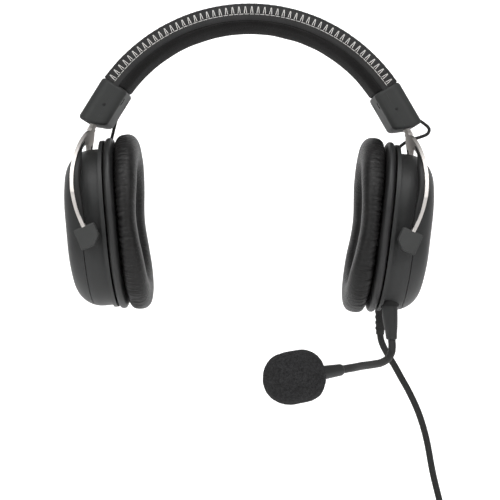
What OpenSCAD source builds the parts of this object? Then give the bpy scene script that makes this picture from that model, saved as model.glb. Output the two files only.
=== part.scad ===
// Over-ear communication headset with a boom microphone.
// Millimetres. +Z up, -Y is the wearer's front, +X is the wearer's left.
// The origin is half way between the two cups' pivots, in the middle of the head.

/* [Headband] */
// Outside radius of the padded arc
band_r = 105; // [98:0.5:114]
// Height of the arc's centre above the pivots
band_z = 33; // [28:0.5:38]
// Half angle of the padded arc, from the top to each cap
band_half_angle = 53.6; // [52:0.2:54.4]
// Width of the band, front to back
band_w = 38; // [32:1:46]
// Thickness of the padded band
band_t = 15; // [13.5:0.5:18]
// Radius of the long edges of the padding
band_edge = 5.5; // [3:0.5:6.5]
// Thickness of the flat steel spring inside
spring_t = 1.2; // [0.8:0.1:2]
// Width of the flat steel spring
spring_w = 30; // [28:1:32]
// Depth of the padding that lies under the spring
cushion_t = 4.4; // [3:0.2:7]
// Width of the laced strip along the top of the band
lace_w = 28; // [20:1:32]
// How far the laced strip stands above the cover
lace_rise = 0.8; // [0.4:0.1:1.5]

/* [End caps] */
// Depth of the cap's mouth inside the band's outside radius
cap_depth = 5.48; // [4:0.01:7]
// Angle round the band from its top to the cap's mouth
cap_angle = 70.145; // [68:0.005:72]
// Lean of the cap and of the fork's travel, from vertical
cap_lean = 31; // [28:0.5:34]
// Length of a cap along its lean
cap_l = 28; // [24:0.5:34]
// Thickness of a cap, outside to inside
cap_t = 17.2; // [16:0.2:20]
// Width of a cap, front to back
cap_w = 40; // [36:1:50]
// Wall of a cap
cap_wall = 1.8; // [1.2:0.1:2.4]
// Corner radius of a cap
cap_round = 4; // [2:0.5:6]

/* [Forks] */
// Thickness of the fork's plate
fork_t = 2; // [1.5:0.1:2.6]
// How far the fork's outer face bows outside the cap's mouth
fork_out = 8.4; // [7:0.1:10]
// Radius of the fork's bow, seen from the front
fork_bow_r = 66; // [60:1:76]
// Drop from the cap's mouth to the bow's widest point
fork_bow_drop = 30.8; // [28:0.2:34]
// Half distance between the two arms' middles
arm_y = 45.4; // [44:0.2:50]
// Width of an arm at its pivot
arm_w = 6.8; // [5:0.2:8]
// Drop from the cap's mouth to the gap between the arms
crotch_drop = 11.8; // [8:0.2:13]
// Half width of the tongue in the cap
tongue_half_w = 8; // [6:0.5:10]
// Travel of the fork in its cap
fork_travel = 24; // [15:1:26]

/* [Pivots] */
// Distance of the pivots inside the fork's widest point
pivot_in = 11; // [8:0.5:13]
// Radius of a pivot pin
pin_r = 2.4; // [1.8:0.1:2.8]
// Side of a pivot block
block_w = 12.4; // [11:0.2:14]
// Thickness of a pivot block, front to back
block_t = 7.2; // [6:0.2:9]
// Turn of a pivot block on its arm
block_turn = 24; // [15:1:30]
// Chamfer of the block's inner lower corner
block_chamfer = 4.6; // [2:0.2:6]

/* [Cups] */
// Distance of the cup's mounting plane inside the pivots
cup_in = 9.5; // [8:0.5:11]
// Height of the pad's centre above the pivots
cup_z = 7.5; // [5:0.5:10]
// Lean of the cup: its top stands further out
cup_lean = 5.9; // [3:0.1:8]
// Half length of the cup's straight sides
cup_straight = 9; // [5:0.5:14]
// Radius of the shell's round ends
cup_r = 37.9; // [34:0.1:38.4]
// How far the shell sits below the pad's centre
cup_drop = 1.7; // [0:0.1:3]
// Radius of the cup's shoulder
shoulder_r = 16; // [12:0.5:17]
// Depth at which the shoulder starts
shoulder_z = 9; // [7:0.5:11]
// Height of the crown over the mounting plane
crown_z = 27.2; // [26:0.1:30]
// Depth of the joint between shell and outer cover
parting_z = 14.4; // [13.6:0.1:15.5]
// Gap of that joint
parting_gap = 0.4; // [0.2:0.1:0.8]
// Wall of the shell and the cover
cup_wall = 2.2; // [1.6:0.1:2.8]
// Radius of the baffle's round ends
baffle_r = 41; // [40:0.5:43]
// Depth of the baffle's head side
baffle_z = 0.6; // [0.4:0.1:0.8]
// Thickness of the baffle
baffle_t = 2.2; // [1.8:0.1:2.8]

/* [Ear pads] */
// Radius of the pad's round ends
pad_r = 43.5; // [42.5:0.5:46]
// Radius of the ear hole's round ends
ear_r = 24.5; // [22:0.5:27]
// Depth of the pad from its seam to its face
pad_t = 14.2; // [11:0.2:18]
// Rounding of the pad's edges
pad_round = 6.8; // [4:0.2:7]
// Radius of the skirt's round ends
skirt_r = 41.8; // [41.2:0.1:43]
// Depth of the skirt
skirt_t = 6; // [4:0.2:8]

/* [Speakers] */
// Radius of the speaker's rim
speaker_r = 24; // [20:0.5:26]
// Radius of the speaker's tub
tub_r = 20; // [16:0.5:21]
// Depth of the speaker's tub
tub_t = 4.4; // [3:0.2:5]
// Radius of the magnet
magnet_r = 12; // [8:0.5:14]
// Thickness of the magnet
magnet_t = 5; // [3:0.2:5.4]

/* [Microphone] */
// How far the boom sleeve's near side lies inside the cup's mounting plane
boom_in = 2; // [1.4:0.1:2.4]
// How far the boom's socket lies in front
boom_y = 16; // [14:0.5:20]
// Radius of the boom's plug sleeve
boom_plug_r = 4.3; // [3.6:0.1:4.6]
// Radius of the gooseneck
gooseneck_r = 2.5; // [2:0.1:3]
// Radius of the windscreen
windscreen_r = 14.3; // [11:0.1:17]
// Length of the windscreen
windscreen_l = 32; // [26:0.5:38]

/* [Cord] */
// Diameter of the main cord
cord_d = 4; // [3.6:0.1:4.2]
// Diameter of each tail behind the splitter
tail_d = 3.2; // [2.8:0.1:3.4]
// Diameter of the leads between the band and the cups
lead_d = 2; // [1.6:0.1:2.2]
// Diameter of the phone plug's pin
phone_pin_d = 6.35; // [6.35]
// Diameter of the microphone plug's pin
mic_pin_d = 5.23; // [5.23]

/* [Hidden] */
$fn = 64;

BLACK = "#1c1c1e";
LEATHER = "#242426";
STEEL = "#b9b6b0";
ALLOY = "#c9c5bd";
FOAM = "#2b2b2d";
BRASS = "#b59a5a";
RIGHT = -1;
LEFT = 1;
CLEAR = 0.3;

// Radii of the layers in the band
cushion_in_r = band_r - band_t;
spring_in_r = cushion_in_r + cushion_t;
spring_out_r = spring_in_r + spring_t;
spring_half_angle = 61;
tongue_l = cap_l + 12;
tongue_root = 5;

// Where the cap's mouth, the fork, the pivots and the cup stand
cap_x = (band_r - cap_depth) * sin(cap_angle);
cap_z = band_z + (band_r - cap_depth) * cos(cap_angle);
fork_x = cap_x + fork_out;
fork_bow_z = cap_z - fork_bow_drop;
crotch_z = cap_z - crotch_drop;
pivot_x = fork_x - pivot_in;
cup_x = pivot_x - cup_in;

// The crown's big arc meets the shoulder's arc without a crease
shoulder_x = cup_r - shoulder_r;
crown_over = crown_z - shoulder_z;
crown_r = (shoulder_x * shoulder_x + crown_over * crown_over - shoulder_r * shoulder_r)
    / (2 * (crown_over - shoulder_r));
crown_c = crown_z - crown_r;
crown_x = shoulder_x / (crown_r - shoulder_r);

baffle_back = baffle_z + baffle_t;
speaker_z = baffle_back;
rim_t = 1.8;
tub_wall = 1.2;
magnet_z = speaker_z + rim_t + tub_t;
foam_z = magnet_z + magnet_t + CLEAR;
foam_t = 3.4;
foam_r = cup_r - 13.9;
board_inset = 3.9;
board_w = 11;
post_r = 3;
post_inset = 8.83;
post_angle = 63.43;
post_x = cup_straight + (cup_r - post_inset) * cos(post_angle);
post_y = (cup_r - post_inset) * sin(post_angle);
screw_r = 1.25;
screw_l = 9;

boss_r = 3.8;
block_y = arm_y - block_t / 2;
collar_y = cup_r + CLEAR;
pin_start = cup_r - 7;
pin_end = block_y + block_t - 1;

// The boom: its plug, the two bending points of its neck, and the windscreen's middle
boom_x = cup_x - boom_in + boom_plug_r;
boom_top = -27;
boom_bottom = -58;
bend_a = [boom_x, -boom_y - 1.5, -63.5];
bend_b = [57, -68, -70.5];
windscreen_c = [24.6, -90, -73.8];
ball_r = gooseneck_r + 0.4;
ball_gap = 0.3;

socket_r = boom_plug_r + 1;
socket_top = -25.6;
socket_bottom = -38.4;
low_cut = -70;

// The strain relief and the cord's rest surface
relief_x = cup_x;
relief_y = 18;
relief_top = -33;
relief_bottom = -58;
relief_r = 3.5;
relief_collar_z = -38.5;
table_z = -200;

coil_c = [76, 22];
coil_mid_r = 22;
coil_half = 6.4;
coil_low = 0.8;
coil_h = 12.6;

// The cord's own points, chosen by hand, from the strain relief to the coil
cord_points = [[81.5, 18, -58], [82.2, 18, -64], [85.5, 18, -70.5], [90, 18, -76.5],
    [94, 18, -84], [98, 18, -91], [102, 18, -98.5], [105, 18, -106], [107.5, 18, -114],
    [109.5, 18, -122], [111, 18, -130], [112.5, 18, -138], [114.5, 18, -146],
    [117, 18, -154], [119.5, 18, -162], [121.5, 18.5, -171], [122, 20, -180],
    [120.5, 25, -188.5], [116.5, 32, -194.5], [110, 39, -197.5], [101.5, 44.5, -198],
    [92.5, 47.6, -198]];
// From the coil to the splitter
cord_end_points = [[50, 6, -197.8], [50, 2, -197.2], [50, -2, -196.5]];
splitter_y = [-2, -30];
splitter_x = 50;
splitter_z = -196.5;
phone_tail_points = [[47.6, -30, -196.5], [47.4, -36, -197.5], [45, -44, -198.4], [38, -50, -198.4],
    [28, -52, -198.4], [16, -52, -198.4], [4, -52, -197.6], [-6, -52, -195], [-14, -52, -193.5]];
mic_tail_points = [[52.4, -30, -196.5], [52.8, -37, -197.6], [53, -46, -198.4], [52, -56, -198.4],
    [47, -64, -198.4], [38, -69, -198.4], [27, -70, -198.4], [15, -70, -198.4],
    [4, -70, -197.8], [-6, -70, -195.4], [-14, -70, -194]];
plug_x = -14;

// The leads, from the rear of each cap to the top of its cup
right_lead_points = [[-79, 20, 86], [-79.2, 22.5, 85.4], [-80.2, 26, 81], [-82.5, 28.5, 74],
    [-84.5, 30, 66.5], [-86.2, 31, 59.5], [-88.2, 31.2, 52.5], [-90, 30.4, 46], [-91, 28.6, 39.5]];
left_lead_points = [[94, 20, 79], [94.4, 22.8, 78.9], [99, 26.4, 76.6], [105.5, 27.5, 73.6],
    [110.6, 27.5, 69.5], [110, 27.5, 66], [106, 28, 64], [101, 28.8, 62.4], [96.2, 29.8, 60.2],
    [92.2, 30.8, 56.4], [90.6, 31.2, 51], [90.6, 30.4, 45.5], [91, 28.6, 39.5]];

// ---------------------------------------------------------------- placing

// The right side is drawn, and the left side is its mirror image.
module on_side(s) {
    if (s == LEFT) mirror([1, 0, 0]) children();
    else children();
}

// In a cup's own frame X points up, Z points away from the head, and Z = 0 is its mounting plane.
module at_cup(s) {
    on_side(s) translate([-cup_x, 0, cup_z]) rotate([0, -90 - cup_lean, 0]) children();
}

// In a cap's own frame Z points up along the fork's travel, and X points to the head.
module at_cap(s) {
    on_side(s) translate([-cap_x, 0, cap_z]) rotate([0, cap_lean, 0]) children();
}

// Aims the children's Z from a to b.
module aim(a, b) {
    d = b - a;
    translate(a) rotate([0, acos(d[2] / norm(d)), atan2(d[1], d[0])]) children();
}

// ---------------------------------------------------------------- shapes

// A flat oval: two round ends and straight sides along X.
module oval_2d(r) {
    for (end = [-1, 1]) translate([end * cup_straight, 0]) circle(r);
    square([2 * cup_straight, 2 * r], center = true);
}

// Carries a half profile, x out from the middle and y up, round the oval.
module oval() {
    for (end = [0, 1]) mirror([end, 0, 0]) translate([cup_straight, 0, 0])
        rotate([0, 0, -90]) rotate_extrude(angle = 180, $fn = 96) children();
    for (side = [0, 1]) mirror([0, side, 0]) translate([-cup_straight, 0, 0])
        rotate([90, 0, 90]) linear_extrude(2 * cup_straight) children();
}

// A rectangle with round corners, from its low corner to its high one.
module rounded(low, high, r) {
    for (x = [low[0] + r, high[0] - r], y = [low[1] + r, high[1] - r]) translate([x, y]) circle(r);
    translate([low[0] + r, low[1]]) square([high[0] - low[0] - 2 * r, high[1] - low[1]]);
    translate([low[0], low[1] + r]) square([high[0] - low[0], high[1] - low[1] - 2 * r]);
}

// Part of the band's arc with the children's section: x is the radius, y runs to the front.
module band_arc(half_angle) {
    translate([0, 0, band_z]) rotate([90, 0, 0]) rotate([0, 0, 90 - half_angle])
        rotate_extrude(angle = 2 * half_angle, $fn = 180) children();
}

// Half profile of the cup, drawn in by inset, above the depth low.
module cup_profile(inset, low) {
    r = shoulder_r - inset;
    edge = crown_x * (crown_r - inset);
    translate([0, low]) square([cup_r - inset, shoulder_z - low]);
    intersection() {
        translate([shoulder_x, shoulder_z]) circle(r, $fn = 96);
        translate([edge, shoulder_z]) square([cup_r, crown_z]);
    }
    intersection() {
        translate([0, crown_c]) circle(crown_r - inset, $fn = 180);
        translate([0, shoulder_z]) square([edge, crown_z]);
    }
}

// Points of a smooth curve through all of p, with n steps to each span.
function at(p, i) = p[max(0, min(len(p) - 1, i))];
function spline_point(a, b, c, d, t) = 0.5 * (2 * b + (c - a) * t
    + (2 * a - 5 * b + 4 * c - d) * t * t + (3 * b - a - 3 * c + d) * t * t * t);
function smooth(p, n) = concat([for (i = [0:len(p) - 2], k = [0:n - 1])
    spline_point(at(p, i - 1), p[i], p[i + 1], at(p, i + 2), k / n)], [p[len(p) - 1]]);
function unit(v) = v / norm(v);
function along(p, i) = unit(at(p, i + 1) - at(p, i - 1));
function side_of(t) = unit(cross(t, abs(t[1]) > 0.9 ? [0, 0, 1] : [0, 1, 0]));
// Carries the ring's side vector along the curve without twisting it.
function sides(p, i, u) = i == len(p) ? [] : let (t = along(p, i), v = unit(u - (u * t) * t))
    concat([v], sides(p, i + 1, v));

// A tube of diameter d along the points p, with n sides.
module tube(p, d, n) {
    us = sides(p, 0, side_of(along(p, 0)));
    points = [for (i = [0:len(p) - 1], k = [0:n - 1])
        let (t = along(p, i), u = us[i], v = cross(t, u))
        p[i] + d / 2 * (u * cos(360 * k / n) + v * sin(360 * k / n))];
    walls = [for (i = [0:len(p) - 2], k = [0:n - 1])
        let (a = i * n + k, b = i * n + (k + 1) % n) [a, a + n, b + n, b]];
    first = [for (k = [0:n - 1]) k];
    last = [for (k = [n - 1:-1:0]) (len(p) - 1) * n + k];
    polyhedron(points, concat(walls, [first, last]), convexity = 10);
}

// ---------------------------------------------------------------- headband

module headband_spring() {
    color(STEEL) difference() {
        band_arc(spring_half_angle) translate([spring_in_r, -spring_w / 2])
            square([spring_t, spring_w]);
        for (s = [RIGHT, LEFT]) at_cap_screws(s, 0) cylinder(r = cap_screw_r + 0.15, h = cap_t);
    }
}

// Section of the padded band between two radii, with its long edges rounded.
module band_section(low, high) {
    intersection() {
        rounded([cushion_in_r, -band_w / 2], [band_r, band_w / 2], band_edge);
        translate([low, -band_w / 2]) square([high - low, band_w]);
    }
}

module headband_cushion() {
    color(LEATHER) band_arc(band_half_angle) band_section(cushion_in_r, spring_in_r - 0.1);
}

// The cover holds the outer padding, with a pocket at each end for the fork's tongue.
module headband_cover() {
    color(LEATHER) difference() {
        band_arc(band_half_angle) band_section(spring_out_r + 0.1, band_r);
        for (s = [RIGHT, LEFT]) at_cap(s)
            translate([-fork_t / 2 - 0.6, -tongue_half_w - 0.8, 0])
                cube([fork_t + 1.2, 2 * tongue_half_w + 1.6, tongue_l + 1]);
        band_arc(band_half_angle + 1) translate([spring_out_r, -wire_y - 1.2])
            square([2.4, 2.4]);
    }
}

module headband_lacing() {
    color(LEATHER) band_arc(band_half_angle - 1) intersection() {
        translate([band_r + 0.05, -lace_w / 2]) square([lace_rise, lace_w]);
        translate([band_r + lace_rise - lace_w * 2, 0]) circle(lace_w * 2 + 0.1, $fn = 180);
    }
}

// The lead that joins the two cups runs on the spring's back.
module headband_wire() {
    color(BLACK) band_arc(band_half_angle + 2) translate([spring_out_r + 1.2, -wire_y])
        circle(lead_d / 2 - 0.1, $fn = 24);
}

// ---------------------------------------------------------------- end caps

cap_out = 8.3;
cap_split = 2.2;
cap_low = -1.4;
cap_in = cap_t - cap_out;
cap_screw_z = 20;
cap_screw_r = 1.15;
cap_screw_head_r = 2.1;
cap_post_r = 2.6;
spring_lx = 2.7;
cap_screw_y = 12;
wire_y = 10.4;

// The cap's solid outline, drawn in by inset.
module cap_body(inset) {
    low = [-cap_out + inset, cap_low + inset];
    high = [cap_in - inset, cap_low + cap_l - inset];
    r = max(cap_round - inset, 1);
    intersection() {
        rotate([90, 0, 0]) translate([0, 0, -cap_w]) linear_extrude(2 * cap_w)
            rounded(low, high, r);
        rotate([90, 0, 90]) translate([0, 0, -cap_w]) linear_extrude(2 * cap_w)
            rounded([-cap_w / 2 + inset, low[1]], [cap_w / 2 - inset, high[1]], r);
        translate([0, 0, -cap_w]) linear_extrude(3 * cap_w)
            rounded([low[0], -cap_w / 2 + inset], [high[0], cap_w / 2 - inset], r);
    }
}

// The hollow of the cap, open at the top for the band and at the bottom for the fork.
module cap_hollow() {
    cap_body(cap_wall);
    translate([-fork_t / 2 - 0.25, -tongue_half_w - 0.3, cap_low - 1])
        cube([fork_t + 0.5, 2 * tongue_half_w + 0.6, cap_l + 2]);
    translate([spring_lx - 1.2, -spring_w / 2 - 0.4, cap_l / 2])
        cube([2.8, spring_w + 0.8, cap_l]);
    translate([spring_lx - 3, wire_y - 1.4, cap_l / 2]) cube([2.6, 2.8, cap_l]);
}

// Places the children, pointing out through the cap's inner face, at a cap's two screws.
module at_cap_screws(s, x) {
    at_cap(s) for (y = [-cap_screw_y, cap_screw_y]) translate([x, y, cap_screw_z])
        rotate([0, 90, 0]) children();
}

// Outer half of a cap, with ribs that guide the fork's tongue and two screw posts.
module cap_outer(s) {
    wall_x = cap_wall - cap_out - 0.1;
    color(BLACK) difference() {
        union() {
            at_cap(s) {
                difference() {
                    cap_body(0);
                    cap_hollow();
                    translate([cap_split, -cap_w, -cap_l]) cube([cap_t, 2 * cap_w, 3 * cap_l]);
                }
                for (y = [-5, 5]) translate([wall_x, y - 1, 2])
                    cube([-fork_t / 2 - 0.25 - wall_x, 2, cap_l - 8]);
            }
            at_cap_screws(s, wall_x) cylinder(r = cap_post_r, h = spring_lx - 0.9 - wall_x);
        }
        at_cap_screws(s, wall_x + 2) cylinder(r = cap_screw_r + 0.05, h = cap_t);
    }
}

// Inner half of a cap, with the posts that press the spring home.
module cap_inner(s) {
    color(BLACK) difference() {
        union() {
            at_cap(s) difference() {
                cap_body(0);
                cap_hollow();
                translate([cap_split + 0.15 - cap_t, -cap_w, -cap_l])
                    cube([cap_t, 2 * cap_w, 3 * cap_l]);
            }
            at_cap_screws(s, spring_lx + 0.9)
                cylinder(r = cap_post_r, h = cap_in - cap_wall - spring_lx - 0.8);
        }
        at_cap_screws(s, 0) cylinder(r = cap_screw_r + 0.15, h = cap_t);
        at_cap_screws(s, cap_in - 1.4) cylinder(r = cap_screw_head_r + 0.15, h = cap_t);
    }
}

// Four screws clamp the ends of the spring between the halves of the caps.
module cap_screws() {
    color(STEEL) for (s = [RIGHT, LEFT]) at_cap_screws(s, cap_in - 1.35) {
        cylinder(r = cap_screw_head_r, h = 1);
        translate([0, 0, -10]) cylinder(r = cap_screw_r, h = 10.5);
    }
}

// A bent leaf on the cap's inner wall that clicks along the tongue.
module detent_spring(s) {
    color(STEEL) at_cap(s) translate([fork_t / 2 + 0.3, -4, 3]) {
        cube([0.5, 8, 9]);
        cube([cap_in - cap_wall - fork_t / 2 - 0.4, 8, 0.6]);
    }
}

// ---------------------------------------------------------------- forks

// Side view of the fork's arms and yoke: x is front to back, y is height.
module fork_outline() {
    arch_r = arm_y + arm_w / 2;
    inner_r = arm_y - arm_w / 2;
    lift = crotch_z - inner_r;
    stem_w = tongue_half_w + 1.5;
    stem_top = cap_z - 2.8;
    difference() {
        union() {
            intersection() {
                translate([0, lift]) circle(arch_r + 1.5, $fn = 128);
                translate([-arch_r, 0]) square([2 * arch_r, cap_z]);
            }
            translate([-arch_r, 3.4]) square([2 * arch_r, lift]);
            polygon([[-stem_w - 8, crotch_z + 3], [stem_w + 8, crotch_z + 3],
                [stem_w, cap_z - 4.4], [stem_w, stem_top], [-stem_w, stem_top],
                [-stem_w, cap_z - 4.4]]);
        }
        translate([0, lift]) circle(inner_r, $fn = 128);
        translate([-inner_r, -1]) square([2 * inner_r, lift + 1]);
        translate([-arch_r - 1, -1]) square([2 * arch_r + 2, 4.4]);
    }
}

// The bowed sheet that the fork is cut from, spread by grow on both faces.
module fork_sheet(grow) {
    translate([-fork_x + fork_bow_r, 0, fork_bow_z]) rotate([90, 0, 0]) difference() {
        cylinder(r = fork_bow_r + grow, h = 140, center = true, $fn = 180);
        cylinder(r = fork_bow_r - fork_t - grow, h = 142, center = true, $fn = 180);
    }
}

module fork(s) {
    color(ALLOY) {
        on_side(s) intersection() {
            fork_sheet(0);
            translate([-fork_x - 5, 0, 0]) rotate([90, 0, 90]) linear_extrude(30) fork_outline();
        }
        at_cap(s) difference() {
            translate([-fork_t / 2, -tongue_half_w, -tongue_root])
                cube([fork_t, 2 * tongue_half_w, tongue_l + tongue_root]);
            for (k = [0:7]) translate([-5, 0, 12 + 3 * k]) rotate([0, 90, 0])
                cylinder(r = 0.9, h = 10, $fn = 24);
        }
    }
}

// Outline of a pivot block about its pivot, seen from the front.
module block_outline() {
    h = block_w / 2;
    rotate(block_turn) polygon([[-h, -h], [h - block_chamfer, -h], [h, block_chamfer - h],
        [h, h], [-h, h]]);
}

module pivot_blocks(s) {
    color(BLACK) on_side(s) difference() {
        for (side = [0, 1]) mirror([0, side, 0]) translate([-pivot_x, block_y + block_t, 0])
            rotate([90, 0, 0]) linear_extrude(block_t) block_outline();
        intersection() {
            fork_sheet(0.12);
            for (side = [-1, 1]) translate([-pivot_x, side * arm_y, block_w / 2 + 3.25])
                cube([60, arm_w + 0.24, block_w], center = true);
        }
        translate([-pivot_x, 0, 0]) rotate([90, 0, 0])
            cylinder(r = pin_r + 0.15, h = 2 * (pin_end + 0.2), center = true);
    }
}

// ---------------------------------------------------------------- cups

// Bores for the two pivot pins, across the whole cup.
module pivot_bores(s) {
    on_side(s) translate([-pivot_x, 0, 0]) rotate([90, 0, 0])
        cylinder(r = pin_r + 0.1, h = 200, center = true);
}

module posts(low, high, r) {
    for (x = [-post_x, post_x], y = [-post_y, post_y]) translate([x, y, low])
        cylinder(r = r, h = high - low);
}

// Room for the boom's socket and the strain relief at the bottom of the left cup.
module bottom_cuts(s) {
    if (s == LEFT) {
        translate([boom_x, -boom_y, low_cut]) cylinder(r = socket_r + 0.1, h = socket_top - low_cut);
        translate([relief_x, relief_y, low_cut]) cylinder(r = relief_r + 0.1, h = relief_top - low_cut);
    }
}

// The same room, in a cup's own frame.
module cup_cuts(s) {
    if (s == LEFT) rotate([0, 90 + cup_lean, 0]) translate([cup_x, 0, -cup_z]) mirror([1, 0, 0])
        bottom_cuts(s);
}

module shell(s) {
    color(BLACK) difference() {
        union() {
            at_cup(s) translate([-cup_drop, 0, 0]) difference() {
                oval() intersection() {
                    cup_profile(0, baffle_back);
                    square([cup_r, parting_z]);
                }
                oval() cup_profile(cup_wall, baffle_back - 1);
            }
            on_side(s) for (side = [-1, 1]) translate([-pivot_x, side * (cup_r - 3.5), 0])
                rotate([90, 0, 0]) cylinder(r = boss_r, h = 5, center = true);
        }
        pivot_bores(s);
        bottom_cuts(s);
    }
}

// The outer cover carries four posts for its screws.
module outer_cover(s) {
    color(BLACK) at_cup(s) translate([-cup_drop, 0, 0]) difference() {
        union() {
            difference() {
                oval() intersection() {
                    cup_profile(0, baffle_back);
                    translate([0, parting_z + parting_gap]) square([cup_r, crown_z]);
                }
                oval() cup_profile(cup_wall, baffle_back);
            }
            intersection() {
                posts(baffle_back + CLEAR, crown_z, post_r);
                oval() cup_profile(cup_wall / 2, baffle_back);
            }
        }
        posts(baffle_back - 1, screw_l + 1.5, screw_r);
        translate([cup_drop, 0, 0]) cup_cuts(s);
    }
}

module pivot_pins(s) {
    color(STEEL) on_side(s) for (side = [0, 1]) mirror([0, side, 0])
        translate([-pivot_x, 0, 0]) rotate([-90, 0, 0]) {
            translate([0, 0, pin_start]) cylinder(r = pin_r, h = pin_end - pin_start);
            translate([0, 0, collar_y]) cylinder(r = pin_r + 1.5, h = block_y - collar_y - CLEAR);
        }
}

// The baffle holds the speaker and carries the pad's skirt on its rim.
module baffle(s) {
    color(BLACK) difference() {
        at_cup(s) difference() {
            translate([0, 0, baffle_z]) linear_extrude(baffle_t) oval_2d(baffle_r);
            translate([-cup_drop, 0, 0]) {
                for (ring = [[0, 1], [6, 6], [12, 12]], k = [0:ring[1] - 1]) rotate(360 * k / ring[1])
                    translate([ring[0], 0, -1]) cylinder(r = 1.5, h = 5, $fn = 24);
                for (x = [-post_x, post_x], y = [-post_y, post_y]) translate([x, y, -1]) {
                    cylinder(r = screw_r + 0.15, h = 6);
                    cylinder(r = 2.6, h = baffle_z + 2.4);
                }
            }
        }
        bottom_cuts(s);
    }
}

module cover_screws(s) {
    color(STEEL) at_cup(s) translate([-cup_drop, 0, 0])
        for (x = [-post_x, post_x], y = [-post_y, post_y]) translate([x, y, 0]) {
            translate([0, 0, baffle_z + 0.1]) cylinder(r = 2.4, h = 1.2);
            translate([0, 0, baffle_z + 0.1]) cylinder(r = screw_r - 0.05, h = screw_l);
        }
}

module speaker_frame(s) {
    color(BLACK) at_cup(s) translate([-cup_drop, 0, speaker_z]) difference() {
        union() {
            cylinder(r = speaker_r, h = rim_t);
            cylinder(r = tub_r, h = rim_t + tub_t);
        }
        translate([0, 0, -1]) cylinder(r = tub_r - tub_wall, h = rim_t + tub_t - tub_wall + 1);
        for (k = [0:5]) rotate(60 * k) translate([15.2, 0, 0]) cylinder(r = 2, h = 20, $fn = 24);
    }
}

module magnet(s) {
    color(STEEL) at_cup(s) translate([-cup_drop, 0, magnet_z]) cylinder(r = magnet_r, h = magnet_t);
}

module diaphragm(s) {
    color(BRASS) at_cup(s) translate([-cup_drop, 0, speaker_z + 0.3]) {
        cylinder(r = tub_r - tub_wall - 0.1, h = 0.4);
        cylinder(r = 8, h = 1);
    }
}

module damping_foam(s) {
    color(FOAM) at_cup(s) translate([-cup_drop, 0, 0]) difference() {
        translate([0, 0, foam_z]) linear_extrude(foam_t) oval_2d(foam_r);
        posts(0, crown_z, post_r + CLEAR);
    }
}

module ear_cloth(s) {
    color(FOAM) at_cup(s) translate([0, 0, baffle_z - 0.6]) linear_extrude(0.5)
        oval_2d(ear_r - 0.5);
}

module pad_skirt(s) {
    color(LEATHER) at_cup(s) translate([0, 0, baffle_z - 0.2 - skirt_t]) difference() {
        linear_extrude(skirt_t) oval_2d(skirt_r);
        translate([0, 0, -1]) linear_extrude(skirt_t + 2) oval_2d(ear_r);
    }
}

module ear_pad(s) {
    top = baffle_z - 0.3 - skirt_t;
    color(LEATHER) at_cup(s) oval() rounded([ear_r - 0.5, top - pad_t], [pad_r, top], pad_round);
}

module lead(s) {
    color(BLACK) tube(smooth(s == LEFT ? left_lead_points : right_lead_points, 2), lead_d, 8);
}

// ---------------------------------------------------------------- left cup's fittings

module mic_socket() {
    color(BLACK) translate([boom_x, -boom_y, 0]) difference() {
        translate([0, 0, socket_bottom]) cylinder(r = socket_r, h = socket_top - socket_bottom);
        translate([0, 0, socket_bottom - 1])
            cylinder(r = boom_plug_r + 0.15, h = boom_top + 0.2 - socket_bottom + 1);
    }
}

module terminal_board() {
    color("#24523a") at_cup(LEFT)
        translate([board_inset - cup_straight - cup_r, -board_w / 2, baffle_back + CLEAR])
            cube([8, board_w, 1.2]);
}

// Ribbed strain relief with a collar inside the shell.
module cable_relief() {
    color(BLACK) translate([relief_x, relief_y, 0]) difference() {
        union() {
            translate([0, 0, relief_collar_z]) cylinder(r = relief_r, h = relief_top - relief_collar_z);
            translate([0, 0, relief_bottom])
                cylinder(r1 = 2.5, r2 = relief_r - 0.2, h = relief_collar_z - relief_bottom);
            for (k = [0:3]) translate([0, 0, relief_bottom + 3 + 3.4 * k])
                cylinder(r = 3 + 0.12 * k, h = 1.6);
        }
        translate([0, 0, relief_bottom - 1]) cylinder(r = cord_d / 2 + 0.1, h = 2);
    }
}

// ---------------------------------------------------------------- boom

// The plug's sleeve and the fixed root of the gooseneck.
module boom_plug() {
    root = [boom_x, -boom_y, boom_bottom];
    color(BLACK) difference() {
        union() {
            translate([boom_x, -boom_y, -50]) cylinder(r = boom_plug_r, h = 50 + boom_top);
            translate([boom_x, -boom_y, boom_bottom])
                cylinder(r1 = gooseneck_r + 0.4, r2 = boom_plug_r, h = -50 - boom_bottom);
            aim(bend_a, root) cylinder(r = gooseneck_r, h = norm(root - bend_a) + 0.6);
        }
        translate(bend_a) sphere(ball_r + ball_gap);
    }
}

module gooseneck_middle() {
    color(BLACK) difference() {
        union() {
            translate(bend_a) sphere(ball_r);
            aim(bend_a, bend_b) cylinder(r = gooseneck_r, h = norm(bend_b - bend_a));
        }
        translate(bend_b) sphere(ball_r + ball_gap);
    }
}

mic_l = norm(windscreen_c - bend_b);
foam_start = mic_l - windscreen_l / 2;
neck_l = foam_start - 8;

module mic_housing() {
    color(BLACK) {
        translate(bend_b) sphere(ball_r);
        aim(bend_b, windscreen_c) {
            cylinder(r = gooseneck_r, h = 6);
            translate([0, 0, 5]) cylinder(r1 = 2.9, r2 = 4.2, h = neck_l - 5);
            translate([0, 0, neck_l]) cylinder(r = 4.2, h = 12);
        }
    }
}

module mic_capsule() {
    color(STEEL) aim(bend_b, windscreen_c) translate([0, 0, neck_l + 12])
        cylinder(r = 4.2, h = 8);
}

module windscreen() {
    color(FOAM) aim(bend_b, windscreen_c) translate([0, 0, foam_start]) difference() {
        rotate_extrude($fn = 96) intersection() {
            rounded([-windscreen_r, 0], [windscreen_r, windscreen_l], 11.5);
            square([windscreen_r, windscreen_l]);
        }
        translate([0, 0, -1]) cylinder(r = 4.5, h = 1 + neck_l + 20.3 - foam_start);
    }
}

// ---------------------------------------------------------------- cord

module main_cord() {
    color(BLACK) {
        tube(smooth(cord_points, 1), cord_d, 10);
        tube(smooth(cord_end_points, 1), cord_d, 10);
    }
}

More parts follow.
